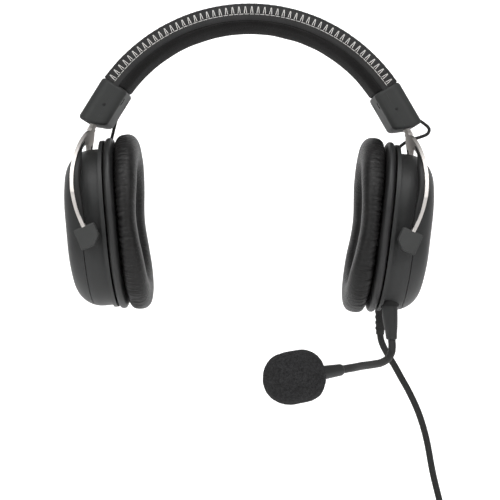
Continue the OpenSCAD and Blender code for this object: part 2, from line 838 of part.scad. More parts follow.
module cord_coil() {
    color(BLACK) translate([coil_c[0], coil_c[1], table_z + coil_low]) rotate_extrude($fn = 96)
        rounded([coil_mid_r - coil_half, 0], [coil_mid_r + coil_half, coil_h], 3);
}

module coil_tie() {
    w = 2 * coil_half + 0.4;
    color(BLACK) translate([coil_c[0] + coil_mid_r, coil_c[1] - 10, table_z]) difference() {
        translate([-w / 2 - 0.8, 6, 0]) cube([w + 1.6, 8, coil_h + 1.8]);
        translate([-w / 2 - 0.6, 0, 0.6]) cube([w + 1.2, 20, coil_h + 0.6]);
    }
}

module splitter() {
    l = splitter_y[0] - splitter_y[1];
    color(BLACK) difference() {
        translate([splitter_x - 5, splitter_y[1], splitter_z - 3]) cube([10, l, 6]);
        for (side = [-1, 1]) translate([splitter_x + side * 12.4, splitter_y[0] - 5, splitter_z])
            rotate([0, 0, side * 12]) cube([16, 40, 8], center = true);
    }
}

module phone_tail() {
    color(BLACK) tube(smooth(phone_tail_points, 1), tail_d, 8);
}

module mic_tail() {
    color(BLACK) tube(smooth(mic_tail_points, 1), tail_d, 8);
}

// A barrel and its pin, along -X from the tail's last point.
module plug(start, barrel_r, pin_radius, pin_l) {
    barrel_l = 40;
    translate(start) rotate([0, -90, 0]) {
        color(BLACK) {
            cylinder(r1 = 2.4, r2 = barrel_r - 1.5, h = 9);
            translate([0, 0, 9]) cylinder(r = barrel_r, h = barrel_l - 9);
        }
        color(BRASS) {
            translate([0, 0, barrel_l]) cylinder(r = pin_radius, h = pin_l - pin_radius);
            translate([0, 0, barrel_l + pin_l - pin_radius])
                cylinder(r1 = pin_radius, r2 = pin_radius * 0.4, h = pin_radius);
        }
    }
}

module phone_plug() {
    plug([plug_x, -52, -193.5], 6.4, phone_pin_d / 2, 30);
}

module mic_plug() {
    plug([plug_x, -70, -194], 5.9, mic_pin_d / 2, 28);
}

// ---------------------------------------------------------------- the nodes

headband_spring();
headband_cover();
headband_lacing();
headband_cushion();
headband_wire();
cap_screws();
cap_outer(LEFT);  // left_cap_outer
cap_inner(LEFT);  // left_cap_inner
detent_spring(LEFT);  // left_detent_spring
cap_outer(RIGHT);  // right_cap_outer
cap_inner(RIGHT);  // right_cap_inner
detent_spring(RIGHT);  // right_detent_spring
fork(LEFT);  // left_fork
pivot_blocks(LEFT);  // left_pivot_blocks
fork(RIGHT);  // right_fork
pivot_blocks(RIGHT);  // right_pivot_blocks
shell(LEFT);  // left_shell
outer_cover(LEFT);  // left_outer_cover
pivot_pins(LEFT);  // left_pivot_pins
baffle(LEFT);  // left_baffle
speaker_frame(LEFT);  // left_speaker_frame
magnet(LEFT);  // left_magnet
diaphragm(LEFT);  // left_diaphragm
damping_foam(LEFT);  // left_damping_foam
ear_cloth(LEFT);  // left_ear_cloth
pad_skirt(LEFT);  // left_pad_skirt
ear_pad(LEFT);  // left_ear_pad
cover_screws(LEFT);  // left_cover_screws
lead(LEFT);  // left_lead
shell(RIGHT);  // right_shell
outer_cover(RIGHT);  // right_outer_cover
pivot_pins(RIGHT);  // right_pivot_pins
baffle(RIGHT);  // right_baffle
speaker_frame(RIGHT);  // right_speaker_frame
magnet(RIGHT);  // right_magnet
diaphragm(RIGHT);  // right_diaphragm
damping_foam(RIGHT);  // right_damping_foam
ear_cloth(RIGHT);  // right_ear_cloth
pad_skirt(RIGHT);  // right_pad_skirt
ear_pad(RIGHT);  // right_ear_pad
cover_screws(RIGHT);  // right_cover_screws
lead(RIGHT);  // right_lead
mic_socket();
terminal_board();
cable_relief();
boom_plug();
gooseneck_middle();
mic_housing();
mic_capsule();
windscreen();
main_cord();
cord_coil();
coil_tie();
splitter();
phone_tail();
mic_tail();
phone_plug();
mic_plug();
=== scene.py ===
"""Visual model of an over-ear headset with a boom microphone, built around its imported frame.

Shapes are worked in millimetres in the frame's own axes and come to metres when a piece is finished.
+Z is up, -Y is the wearer's front and +X is the wearer's left.
"""

import logging
import math
import random
from dataclasses import dataclass
from enum import Enum
from typing import Callable, Dict, List, Optional, Sequence, Tuple, Union

import bmesh
import bpy
from mathutils import Matrix, Vector, noise


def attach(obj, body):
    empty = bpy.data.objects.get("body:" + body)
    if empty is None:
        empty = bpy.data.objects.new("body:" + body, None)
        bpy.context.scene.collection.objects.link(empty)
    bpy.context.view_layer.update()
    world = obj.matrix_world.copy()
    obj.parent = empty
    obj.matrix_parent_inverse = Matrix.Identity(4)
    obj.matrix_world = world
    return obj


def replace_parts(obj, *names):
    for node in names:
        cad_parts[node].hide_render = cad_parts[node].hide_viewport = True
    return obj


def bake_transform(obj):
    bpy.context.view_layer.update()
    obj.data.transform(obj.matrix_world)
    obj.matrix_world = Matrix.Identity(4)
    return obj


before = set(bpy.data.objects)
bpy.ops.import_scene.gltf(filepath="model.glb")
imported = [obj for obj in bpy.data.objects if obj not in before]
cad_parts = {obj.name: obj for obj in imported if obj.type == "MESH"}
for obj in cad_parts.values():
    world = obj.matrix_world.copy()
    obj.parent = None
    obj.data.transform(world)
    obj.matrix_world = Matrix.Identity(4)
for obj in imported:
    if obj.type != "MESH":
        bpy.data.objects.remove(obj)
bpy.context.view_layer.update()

LOG = logging.getLogger("headset")
MM = 0.001
Points = Sequence[Sequence[float]]


class Side(Enum):
    """The wearer's side that a piece belongs to, and its sign along X."""

    RIGHT = -1
    LEFT = 1

    @property
    def word(self) -> str:
        """The side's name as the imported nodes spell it."""
        return self.name.lower()

    def mirror(self) -> Matrix:
        """The turn from the drawn right side to this side."""
        return Matrix.Scale(-1, 4, (1, 0, 0)) if self is Side.LEFT else Matrix.Identity(4)


# ------------------------------------------------------------------ materials


class Wire:
    """A shader socket whose arithmetic adds Math nodes to its tree."""

    def __init__(self, tree: "Tree", socket: bpy.types.NodeSocket) -> None:
        self.tree = tree
        self.socket = socket

    def __add__(self, other: "Value") -> "Wire":
        """self + other."""
        return self.tree.maths("ADD", self, other)

    __radd__ = __add__

    def __sub__(self, other: "Value") -> "Wire":
        """self - other."""
        return self.tree.maths("SUBTRACT", self, other)

    def __rsub__(self, other: "Value") -> "Wire":
        """other - self."""
        return self.tree.maths("SUBTRACT", other, self)

    def __mul__(self, other: "Value") -> "Wire":
        """self * other."""
        return self.tree.maths("MULTIPLY", self, other)

    __rmul__ = __mul__

    def __pow__(self, other: "Value") -> "Wire":
        """self to the power other."""
        return self.tree.maths("POWER", self, other)

    def between(self, ends: Sequence[float]) -> "Wire":
        """Runs from the first end at 0 to the second at 1."""
        return ends[0] + (ends[1] - ends[0]) * self

    def sine(self) -> "Wire":
        """The sine of self."""
        return self.tree.maths("SINE", self)

    def size(self) -> "Wire":
        """The absolute value of self."""
        return self.tree.maths("ABSOLUTE", self)

    def band(self, low: float, high: float, start: float = 0.0, end: float = 1.0) -> "Wire":
        """Runs smoothly from start at low to end at high."""
        return self.tree.node(
            "ShaderNodeMapRange", {"interpolation_type": "SMOOTHSTEP"},
            {"Value": self, "From Min": low, "From Max": high, "To Min": start, "To Max": end})


Value = Union[Wire, float]
Colour = Tuple[float, float, float]


class Tree:
    """The node tree of one material."""

    def __init__(self, name: str) -> None:
        self.material = bpy.data.materials.new(name)
        self.material.use_nodes = True
        self.material.node_tree.nodes.clear()

    def node(self, kind: str, settings: Optional[dict] = None, inputs: Optional[dict] = None,
             output: Union[int, str] = 0) -> Wire:
        """Adds one node.

        Args:
            kind: The node's type name.
            settings: Its properties, set first.
            inputs: Values or wires for its sockets, by name or number.
            output: The socket to hand back.

        Returns:
            The wire of that output.
        """
        nodes = self.material.node_tree.nodes
        made = nodes.new(kind)
        for key, value in (settings or {}).items():
            setattr(made, key, value)
        for key, value in (inputs or {}).items():
            if isinstance(value, Wire):
                self.material.node_tree.links.new(value.socket, made.inputs[key])
            else:
                made.inputs[key].default_value = value
        return Wire(self, made.outputs[output])

    def maths(self, operation: str, *values: Value) -> Wire:
        """A Math node on one or two values."""
        return self.node("ShaderNodeMath", {"operation": operation}, dict(enumerate(values)))

    def place(self, stretch: Sequence[float] = (1, 1, 1), turn: Sequence[float] = (0, 0, 0)) -> Wire:
        """Object coordinates in millimetres, turned and then stretched.

        Args:
            stretch: Factors on the three axes; a small one draws a pattern out.
            turn: Rotation in degrees.

        Returns:
            A vector wire.
        """
        seat = self.node("ShaderNodeTexCoord", output="Object")
        turned = self.node("ShaderNodeMapping", {}, {
            "Vector": seat, "Rotation": [math.radians(a) for a in turn]})
        return self.node("ShaderNodeMapping", {}, {
            "Vector": turned, "Scale": [s / MM for s in stretch]})

    def run(self, stretch: Sequence[float] = (1, 1, 1)) -> Wire:
        """The piece's own "run" attribute, stretched."""
        seat = self.node("ShaderNodeAttribute", {"attribute_name": "run"}, output="Vector")
        return self.node("ShaderNodeMapping", {}, {"Vector": seat, "Scale": list(stretch)})

    def parts(self, vector: Wire) -> List[Wire]:
        """The three numbers of a vector."""
        first = self.node("ShaderNodeSeparateXYZ", {}, {"Vector": vector})
        return [Wire(self, s) for s in first.socket.node.outputs]

    def grain(self, vector: Wire, scale: float, detail: float = 2.0, rough: float = 0.5) -> Wire:
        """Noise from 0 to 1; scale counts its waves in a millimetre."""
        return self.node("ShaderNodeTexNoise", {}, {
            "Vector": vector, "Scale": scale, "Detail": detail, "Roughness": rough})

    def cells(self, vector: Wire, scale: float, feature: str = "DISTANCE_TO_EDGE") -> Wire:
        """Distance field of scattered cells; scale counts cells in a millimetre."""
        return self.node("ShaderNodeTexVoronoi", {"feature": feature}, {
            "Vector": vector, "Scale": scale}, output="Distance")

    def blend(self, factor: Value, low: Colour, high: Colour) -> Wire:
        """A colour between two, by a factor."""
        return self.node("ShaderNodeMix", {"data_type": "RGBA"},
                         {0: factor, 6: (*low, 1), 7: (*high, 1)}, output=2)

    def bump(self, height: Wire, depth: float, under: Optional[Wire] = None) -> Wire:
        """A normal from a height of 0 to 1 that stands for depth millimetres."""
        inputs = {"Height": height, "Distance": depth * MM, "Strength": 1.0}
        if under is not None:
            inputs["Normal"] = under
        return self.node("ShaderNodeBump", {}, inputs)

    def close(self, **sockets: Union[Wire, float, Colour]) -> bpy.types.Material:
        """Ends the tree in one shader.

        Args:
            sockets: Its sockets, with _ for a space, as in Base_Color.

        Returns:
            The finished material.
        """
        inputs = {}
        for key, value in sockets.items():
            full = isinstance(value, tuple) and len(value) == 3
            inputs[key.replace("_", " ")] = (*value, 1) if full else value
        shader = self.node("ShaderNodeBsdfPrincipled", {}, inputs)
        self.node_out(shader)
        return self.material

    def node_out(self, shader: Wire) -> None:
        """Links a shader to the material's output."""
        out = self.material.node_tree.nodes.new("ShaderNodeOutputMaterial")
        self.material.node_tree.links.new(shader.socket, out.inputs["Surface"])


class Finish:
    """A surface finish: it dresses pieces, and makes its material once."""

    made: Dict[str, bpy.types.Material] = {}
    name: str
    slot: str

    def draw(self, tree: Tree) -> bpy.types.Material:
        """Fills the tree; each finish has its own."""
        raise NotImplementedError

    @property
    def material(self) -> bpy.types.Material:
        """The finish's material."""
        if self.name not in Finish.made:
            Finish.made[self.name] = self.draw(Tree(self.name))
        return Finish.made[self.name]


@dataclass(frozen=True)
class Leatherette(Finish):
    """Soft coated cloth with pebbled grain, fine creases and a satin sheen."""

    name: str
    slot: str
    dark: Colour = (0.008, 0.008, 0.0085)
    light: Colour = (0.015, 0.0147, 0.0147)
    cell: float = 1.3
    grain_depth: float = 0.05
    crease_depth: float = 0.0
    shine: Tuple[float, float] = (0.36, 0.52)
    specular: float = 0.3

    def draw(self, tree: Tree) -> bpy.types.Material:
        """Pebbles, fine grain, creases and worn patches."""
        seat = tree.place()
        wander = tree.grain(seat, 0.35, 2.0)
        pebbles = tree.cells(seat, self.cell).band(0.0, 0.28)
        fine = tree.grain(seat, 5.0, 3.0, 0.6)
        patches = tree.grain(seat, 0.07, 3.0)
        height = pebbles * 0.72 + fine * 0.28
        normal = tree.bump(height, self.grain_depth)
        if self.crease_depth:
            folds = tree.grain(tree.run((0.5, 0.5, 0.1)), 1.0, 4.0, 0.62)
            normal = tree.bump((folds * 2 - 1).size().band(0.0, 0.4), self.crease_depth, normal)
        rough = (patches * 0.6 + wander * 0.4).between(self.shine)
        return tree.close(
            Base_Color=tree.blend(pebbles * 0.5 + patches.band(0.35, 0.7) * 0.5, self.dark, self.light),
            Roughness=rough + (1 - pebbles) * 0.12, Normal=normal, Specular_IOR_Level=self.specular)


@dataclass(frozen=True)
class Plastic(Finish):
    """Moulded plastic with a spark-eroded texture and faint handling marks."""

    name: str
    slot: str
    dark: Colour = (0.011, 0.0114, 0.0114)
    light: Colour = (0.017, 0.0174, 0.0174)
    texture: float = 3.2
    texture_depth: float = 0.018
    shine: Tuple[float, float] = (0.4, 0.54)
    specular: float = 0.26

    def draw(self, tree: Tree) -> bpy.types.Material:
        """Eroded grain, broad sheen changes and hair scratches."""
        seat = tree.place()
        spark = tree.grain(seat, self.texture, 3.0, 0.7)
        patches = tree.grain(seat, 0.06, 3.0, 0.55)
        hairs = tree.grain(tree.place((0.12, 2.4, 2.4), (20, 35, 50)), 0.9, 2.0)
        scratch = hairs.band(0.68, 0.74)
        return tree.close(
            Base_Color=tree.blend(patches * 0.7 + spark * 0.3, self.dark, self.light),
            Roughness=patches.between(self.shine) + spark * 0.06 - scratch * 0.06,
            Normal=tree.bump(spark, self.texture_depth), Specular_IOR_Level=self.specular)


@dataclass(frozen=True)
class BrushedMetal(Finish):
    """Metal with long brushing lines and a satin cast."""

    name: str
    slot: str
    dark: Colour = (0.38, 0.36, 0.345)
    light: Colour = (0.6, 0.575, 0.555)
    draw_out: Tuple[float, float, float] = (6.0, 6.0, 0.12)
    shine: Tuple[float, float] = (0.44, 0.6)

    def draw(self, tree: Tree) -> bpy.types.Material:
        """Lines drawn out along the piece, with cloudy wear between them."""
        lines = tree.grain(tree.place(self.draw_out), 1.0, 4.0, 0.65)
        cloud = tree.grain(tree.place(), 0.12, 3.0)
        return tree.close(
            Base_Color=tree.blend(lines * 0.6 + cloud * 0.4, self.dark, self.light),
            Metallic=1.0, Roughness=(lines * 0.5 + cloud * 0.5).between(self.shine),
            Normal=tree.bump(lines, 0.012), Specular_Tint=(0.3, 0.29, 0.28))


@dataclass(frozen=True)
class PlatedMetal(Finish):
    """Bright turned metal with fine tool rings and a cloudy tarnish."""

    name: str
    slot: str
    bright: Colour = (0.72, 0.7, 0.67)
    dull: Colour = (0.42, 0.4, 0.37)
    ring_axis: int = 0
    shine: Tuple[float, float] = (0.12, 0.3)

    def draw(self, tree: Tree) -> bpy.types.Material:
        """Rings across one axis and a cloudy tarnish."""
        along = tree.parts(tree.place())[self.ring_axis]
        rings = (along * 18.0).sine() * 0.5 + 0.5
        cloud = tree.grain(tree.place(), 0.5, 4.0, 0.6)
        return tree.close(
            Base_Color=tree.blend(cloud.band(0.3, 0.75), self.bright, self.dull), Metallic=1.0,
            Roughness=cloud.between(self.shine),
            Normal=tree.bump(rings * 0.4 + cloud * 0.6, 0.006))


@dataclass(frozen=True)
class Braid(Finish):
    """Braided jacket: two families of strands crossing along the cord."""

    name: str
    slot: str
    dark: Colour = (0.004, 0.004, 0.004)
    light: Colour = (0.024, 0.0235, 0.023)
    pitch: float = 1.15
    strands: int = 6
    depth: float = 0.22

    def draw(self, tree: Tree) -> bpy.types.Material:
        """The crossings follow the cord by its own attribute."""
        along, cosine, sine = tree.parts(tree.run())
        angle = tree.maths("ARCTAN2", sine, cosine) * float(self.strands)
        step = along * (2 * math.pi / self.pitch)
        left, right = (step + angle).sine(), (step - angle).sine()
        fibres = tree.grain(tree.place((3.0, 3.0, 3.0)), 2.0, 2.0)
        weave = (left * right).size() ** 0.6
        over = (left * right).band(-0.5, 0.5)
        return tree.close(
            Base_Color=tree.blend(weave * 0.55 + over * 0.25 + fibres * 0.2, self.dark, self.light),
            Roughness=0.62 + fibres * 0.2,
            Normal=tree.bump(weave * 0.85 + fibres * 0.15, self.depth), Specular_IOR_Level=0.25)


@dataclass(frozen=True)
class Foam(Finish):
    """Open-cell foam: dark pores between thin walls."""

    name: str
    slot: str
    dark: Colour = (0.003, 0.003, 0.003)
    light: Colour = (0.028, 0.028, 0.029)
    pores: float = 1.3

    def draw(self, tree: Tree) -> bpy.types.Material:
        """Two sizes of pore and scattered lint."""
        seat = tree.place()
        wide = tree.cells(seat, self.pores, "F1").band(0.1, 0.75)
        small = tree.cells(seat, self.pores * 2.3, "F1").band(0.1, 0.8)
        cloud = tree.grain(seat, 0.6, 4.0, 0.7).band(0.36, 0.62)
        lint = tree.cells(seat, 0.33, "F1").band(0.1, 0.02)
        walls = wide * 0.6 + small * 0.4
        return tree.close(
            Base_Color=tree.blend(walls * 0.55 + cloud * 0.45 + lint * 0.6, self.dark, self.light),
            Roughness=0.88 + cloud * 0.1, Normal=tree.bump(walls, 0.4), Specular_IOR_Level=0.1)


@dataclass(frozen=True)
class Cloth(Finish):
    """Plain woven cloth over the speaker."""

    name: str
    slot: str
    dark: Colour = (0.006, 0.006, 0.006)
    light: Colour = (0.034, 0.034, 0.036)
    pitch: float = 0.7

    def draw(self, tree: Tree) -> bpy.types.Material:
        """Warp and weft that pass over and under each other."""
        _, across, up = tree.parts(tree.place())
        warp = (across * (2 * math.pi / self.pitch)).sine()
        weft = (up * (2 * math.pi / self.pitch)).sine()
        fluff = tree.grain(tree.place(), 4.0, 3.0)
        weave = (warp * weft) * 0.5 + 0.5
        return tree.close(
            Base_Color=tree.blend(weave * 0.8 + fluff * 0.2, self.dark, self.light),
            Roughness=0.8 + fluff * 0.15, Normal=tree.bump(weave, 0.15), Sheen_Weight=0.2)


@dataclass(frozen=True)
class Thread(Finish):
    """Waxed sewing thread with a visible twist and a little soil."""

    name: str
    slot: str
    dark: Colour = (0.3, 0.295, 0.285)
    light: Colour = (0.62, 0.61, 0.59)

    def draw(self, tree: Tree) -> bpy.types.Material:
        """A slanting ply along each strand."""
        along, cosine, sine = tree.parts(tree.run())
        angle = tree.maths("ARCTAN2", sine, cosine)
        ply = (along * 9.0 + angle * 2.0).sine() * 0.5 + 0.5
        soil = tree.grain(tree.place(), 0.4, 3.0)
        return tree.close(
            Base_Color=tree.blend(ply * 0.5 + soil * 0.5, self.dark, self.light),
            Roughness=0.6 + soil * 0.2, Normal=tree.bump(ply, 0.05), Sheen_Weight=0.1)


@dataclass(frozen=True)
class Backdrop(Finish):
    """Plain pale paper for the floor and the wall behind."""

    name: str
    slot: str = ""
    tone: Colour = (0.9, 0.9, 0.9)
    glow: float = 0.66

    def draw(self, tree: Tree) -> bpy.types.Material:
        """Nearly even, with the faintest mottle."""
        mottle = tree.grain(tree.place(), 0.004, 2.0)
        lift = tuple(min(1.0, c + 0.02) for c in self.tone)
        paper = tree.blend(mottle, self.tone, lift)
        return tree.close(Base_Color=paper, Roughness=0.9, Specular_IOR_Level=0.1,
                          Emission_Color=paper, Emission_Strength=self.glow)


SLEEVE_LEATHER = Leatherette("sleeve leatherette", "leatherette")
LACED_LEATHER = Leatherette("laced leatherette", "laced_leatherette", cell=1.6, shine=(0.5, 0.64),
                            specular=0.2)
# The pad's leatherette is darker than the sleeve's; part of that darkness is painted shade for the pad's inner
# face, which turns away from the lamps.
SHADED_PAD_LEATHER = Leatherette("shaded pad leatherette", "pad_leatherette", (0.004, 0.0038, 0.0038),
                          (0.009, 0.0087, 0.0087), 1.1, 0.03, 0.15, (0.34, 0.46), 0.18)
# The cushion is the sleeve's leatherette with a duller, weaker sheen and a darker colour; the darker colour is
# painted shade for the band's underside.
SHADED_CUSHION_LEATHER = Leatherette("shaded cushion leatherette", "leatherette", (0.007, 0.0068, 0.0068),
                              (0.013, 0.0127, 0.0127), shine=(0.7, 0.82), specular=0.07)
CUP_PLASTIC = Plastic("cup plastic", "cup_black")
CAP_PLASTIC = Plastic("cap plastic", "matte_black", (0.017, 0.0177, 0.0175), (0.025, 0.0257, 0.0252),
                     shine=(0.5, 0.62), specular=0.15)
GRIP_PLASTIC = Plastic("grip plastic", "matte_black", (0.025, 0.0257, 0.0252), (0.034, 0.0347, 0.0342),
                       shine=(0.5, 0.62), specular=0.15)
# The darkest plastic; on the fork's arm liners its darkness is partly painted shade.
DARK_PLASTIC = Plastic("dark plastic", "matte_black", (0.006, 0.006, 0.006), (0.01, 0.01, 0.01),
                       specular=0.16)
MIC_PLASTIC = Plastic("microphone plastic", "mic_black", texture=4.5)
RUBBER = Plastic("soft rubber", "soft_rubber", (0.011, 0.011, 0.011), (0.018, 0.0175, 0.017),
                 5.0, 0.02, (0.55, 0.72))
ALLOY = BrushedMetal("brushed alloy", "brushed_alloy")
SPRING_STEEL = BrushedMetal("spring steel", "spring_steel", draw_out=(0.15, 5.0, 0.15))
CAPSULE_METAL = BrushedMetal("capsule metal", "capsule_metal", draw_out=(4.0, 4.0, 4.0))
SCREW_STEEL = PlatedMetal("screw steel", "screw_steel", (0.5, 0.49, 0.47), (0.3, 0.29, 0.28))
MAGNET_PLATING = PlatedMetal("magnet plating", "magnet_plating")
PLUG_METAL = PlatedMetal("plug metal", "plug_metal", (0.83, 0.64, 0.33), (0.55, 0.4, 0.2))
FILM = PlatedMetal("diaphragm film", "diaphragm_film", (0.55, 0.42, 0.2), (0.4, 0.3, 0.14))
CORD_BRAID = Braid("main cord braid", "main_cord_jacket")
LEAD_JACKET = Braid("lead jacket", "cord_jacket", pitch=0.8, strands=4, depth=0.08)
BOARD = Plastic("board green", "board_green", (0.01, 0.06, 0.03), (0.02, 0.11, 0.05))
MIC_FOAM = Foam("windscreen foam", "acoustic_foam")
EAR_CLOTH = Cloth("ear cloth", "ear_fabric")
LACE_THREAD = Thread("lacing thread", "laced_leatherette")
PAPER = Backdrop("studio paper")

CAD_FINISHES: Dict[str, Finish] = {
    "headband_spring": SPRING_STEEL, "headband_wire": LEAD_JACKET, "cap_screws": SCREW_STEEL,
    "detent_spring": SPRING_STEEL, "fork": ALLOY, "shell": CUP_PLASTIC, "outer_cover": CUP_PLASTIC,
    "pivot_pins": SCREW_STEEL, "baffle": CUP_PLASTIC, "speaker_frame": DARK_PLASTIC,
    "magnet": MAGNET_PLATING, "diaphragm": FILM, "damping_foam": MIC_FOAM, "ear_cloth": EAR_CLOTH,
    "cover_screws": SCREW_STEEL, "mic_socket": DARK_PLASTIC, "terminal_board": BOARD,
    "cable_relief": RUBBER, "mic_capsule": CAPSULE_METAL}


# ------------------------------------------------------------------ shapes


def smooth_line(points: Points, steps: int) -> List[Vector]:
    """A smooth curve through all the points.

    Args:
        points: Points that it passes.
        steps: How many stretches each span is cut into.

    Returns:
        The curve's points.
    """
    given = [Vector(p) for p in points]
    ends = [given[0], *given, given[-1]]
    line = []
    for a, b, c, d in zip(ends, ends[1:], ends[2:], ends[3:]):
        for step in range(steps):
            t = step / steps
            line.append(0.5 * (2 * b + (c - a) * t + (2 * a - 5 * b + 4 * c - d) * t * t
                               + (3 * b - a - 3 * c + d) * t ** 3))
    return line + [given[-1]]


def line_length(line: Points) -> float:
    """Length of a chain of points."""
    return sum((Vector(b) - Vector(a)).length for a, b in zip(line, line[1:]))


def ease(value: float, low: float, high: float) -> float:
    """Runs smoothly from 0 at low to 1 at high."""
    t = min(1.0, max(0.0, (value - low) / (high - low)))
    return t * t * (3 - 2 * t)


def edges_of(geometry: list) -> list:
    """The edges among an operator's results."""
    return [g for g in geometry if isinstance(g, bmesh.types.BMEdge)]


def verts_of(geometry: list) -> list:
    """The vertices among an operator's results."""
    return [g for g in geometry if isinstance(g, bmesh.types.BMVert)]


class Shape:
    """A mesh in the making, in millimetres, that bmesh operators give its form."""

    def __init__(self) -> None:
        self.bm = bmesh.new()

    @classmethod
    def block(cls, low: Sequence[float], high: Sequence[float]) -> "Shape":
        """A box between two corners."""
        made = cls()
        size = Vector(high) - Vector(low)
        bmesh.ops.create_cube(made.bm, size=1.0)
        bmesh.ops.scale(made.bm, vec=size, verts=made.bm.verts)
        bmesh.ops.translate(made.bm, vec=Vector(low) + size / 2, verts=made.bm.verts)
        return made

    @classmethod
    def rod(cls, radius: float, length: float, sides: int = 48) -> "Shape":
        """A closed cylinder from the origin up Z."""
        made = cls()
        bmesh.ops.create_cone(made.bm, cap_ends=True, segments=sides, radius1=radius,
                              radius2=radius, depth=length)
        bmesh.ops.translate(made.bm, vec=(0, 0, length / 2), verts=made.bm.verts)
        return made

    @classmethod
    def turned(cls, profile: Points, sides: int = 64) -> "Shape":
        """A lathe shape round Z.

        Args:
            profile: Pairs of radius and height, from one end of the axis to the other.
            sides: Steps round the axis.

        Returns:
            The closed shape.
        """
        made = cls()
        line = made.chain([(r, 0, z) for r, z in profile])
        bmesh.ops.spin(made.bm, geom=line, cent=(0, 0, 0), axis=(0, 0, 1), angle=2 * math.pi,
                       steps=sides, use_merge=True, use_duplicate=False)
        return made.clean()

    @classmethod
    def ribbon(cls, points: Points, way: Sequence[float], closed: bool = False) -> "Shape":
        """An open strip: a chain of points drawn out once along a way."""
        made = cls()
        line = made.chain(points, closed)
        grown = bmesh.ops.extrude_edge_only(made.bm, edges=edges_of(line))["geom"]
        bmesh.ops.translate(made.bm, vec=way, verts=verts_of(grown))
        bmesh.ops.recalc_face_normals(made.bm, faces=made.bm.faces)
        return made

    def chain(self, points: Points, closed: bool = False) -> list:
        """A few vertices joined by edges, as an operator's start."""
        verts = [self.bm.verts.new(p) for p in points]
        pairs = list(zip(verts, verts[1:])) + ([(verts[-1], verts[0])] if closed else [])
        return verts + [self.bm.edges.new(pair) for pair in pairs]

    def clean(self, gap: float = 1e-4) -> "Shape":
        """Merges doubles, closes open ends and turns the faces outwards."""
        bmesh.ops.remove_doubles(self.bm, verts=self.bm.verts, dist=gap)
        bmesh.ops.dissolve_degenerate(self.bm, dist=gap, edges=self.bm.edges)
        bmesh.ops.holes_fill(self.bm, edges=[e for e in self.bm.edges if e.is_boundary], sides=0)
        bmesh.ops.recalc_face_normals(self.bm, faces=self.bm.faces)
        return self

    def place(self, matrix: Matrix) -> "Shape":
        """Moves the shape, and keeps its faces outwards when it is mirrored."""
        bmesh.ops.transform(self.bm, matrix=matrix, verts=self.bm.verts)
        if matrix.determinant() < 0:
            bmesh.ops.reverse_faces(self.bm, faces=self.bm.faces)
        return self

    def shift(self, move: Callable[[Vector], Vector]) -> "Shape":
        """Moves every vertex by a rule."""
        for vert in self.bm.verts:
            vert.co = move(vert.co)
        return self

    def add(self, other: "Shape") -> "Shape":
        """Takes another shape in."""
        mesh = bpy.data.meshes.new("taken")
        other.bm.to_mesh(mesh)
        self.bm.from_mesh(mesh)
        bpy.data.meshes.remove(mesh)
        other.bm.free()
        return self

    def bevel(self, width: float, segments: int = 4,
              chosen: Optional[Callable[[bmesh.types.BMEdge], bool]] = None) -> "Shape":
        """Rounds edges.

        Args:
            width: The rounding's width.
            segments: Its steps.
            chosen: Says which edges; all sharp ones if it is left out.

        Returns:
            The shape.
        """
        edges = [e for e in self.bm.edges if (chosen(e) if chosen else
                 e.is_manifold and e.calc_face_angle(0) > 0.5)]
        bmesh.ops.bevel(self.bm, geom=edges, offset=width, offset_type="OFFSET", segments=segments,
                        profile=0.5, affect="EDGES", clamp_overlap=True, material=-1)
        return self

    def cut(self, tool: "Shape") -> "Shape":
        """Takes the tool's space out of the shape."""
        body, cutter = self.loose("body"), tool.loose("cutter")
        change = body.modifiers.new("cut", "BOOLEAN")
        change.operation, change.object, change.solver = "DIFFERENCE", cutter, "EXACT"
        graph = bpy.context.evaluated_depsgraph_get()
        mesh = bpy.data.meshes.new_from_object(body.evaluated_get(graph))
        self.bm.clear()
        self.bm.from_mesh(mesh)
        for obj in (body, cutter):
            bpy.data.objects.remove(obj)
        bpy.data.meshes.remove(mesh)
        return self

    def loose(self, name: str) -> bpy.types.Object:
        """The shape as a plain object, still in millimetres."""
        mesh = bpy.data.meshes.new(name)
        self.bm.to_mesh(mesh)
        obj = bpy.data.objects.new(name, mesh)
        bpy.context.scene.collection.objects.link(obj)
        return obj

    def finish(self, name: str, finish: Finish, sharp: float = 40.0,
               run: Optional[Callable[[Vector], Sequence[float]]] = None,
               weighted: bool = False) -> bpy.types.Object:
        """Makes the finished piece in metres.

        Args:
            name: The piece's name.
            finish: Its surface.
            sharp: The least angle, in degrees, that is shaded as a crease.
            run: Gives a vertex its "run" attribute from its place in millimetres.
            weighted: Whether broad faces keep flat shading beside their rounded edges.

        Returns:
            The object at the origin.
        """
        mesh = bpy.data.meshes.new(name)
        values = [run(v.co) for v in self.bm.verts] if run else []
        bmesh.ops.scale(self.bm, vec=(MM, MM, MM), verts=self.bm.verts)
        self.bm.to_mesh(mesh)
        self.bm.free()
        if values:
            layer = mesh.attributes.new("run", "FLOAT_VECTOR", "POINT")
            layer.data.foreach_set("vector", [n for value in values for n in value])
        return finish_mesh(mesh, name, finish, sharp, weighted)


def finish_mesh(mesh: bpy.types.Mesh, name: str, finish: Finish, sharp: float = 40.0,
                weighted: bool = False) -> bpy.types.Object:
    """Links a mesh as a piece with its finish and shading."""
    for polygon in mesh.polygons:
        polygon.use_smooth = True
    mesh.set_sharp_from_angle(angle=math.radians(sharp))
    mesh.materials.clear()
    mesh.materials.append(finish.material)
    obj = bpy.data.objects.new(name, mesh)
    bpy.context.scene.collection.objects.link(obj)
    if weighted:
        change = obj.modifiers.new("Weighted", "WEIGHTED_NORMAL")
        change.keep_sharp = True
    return obj


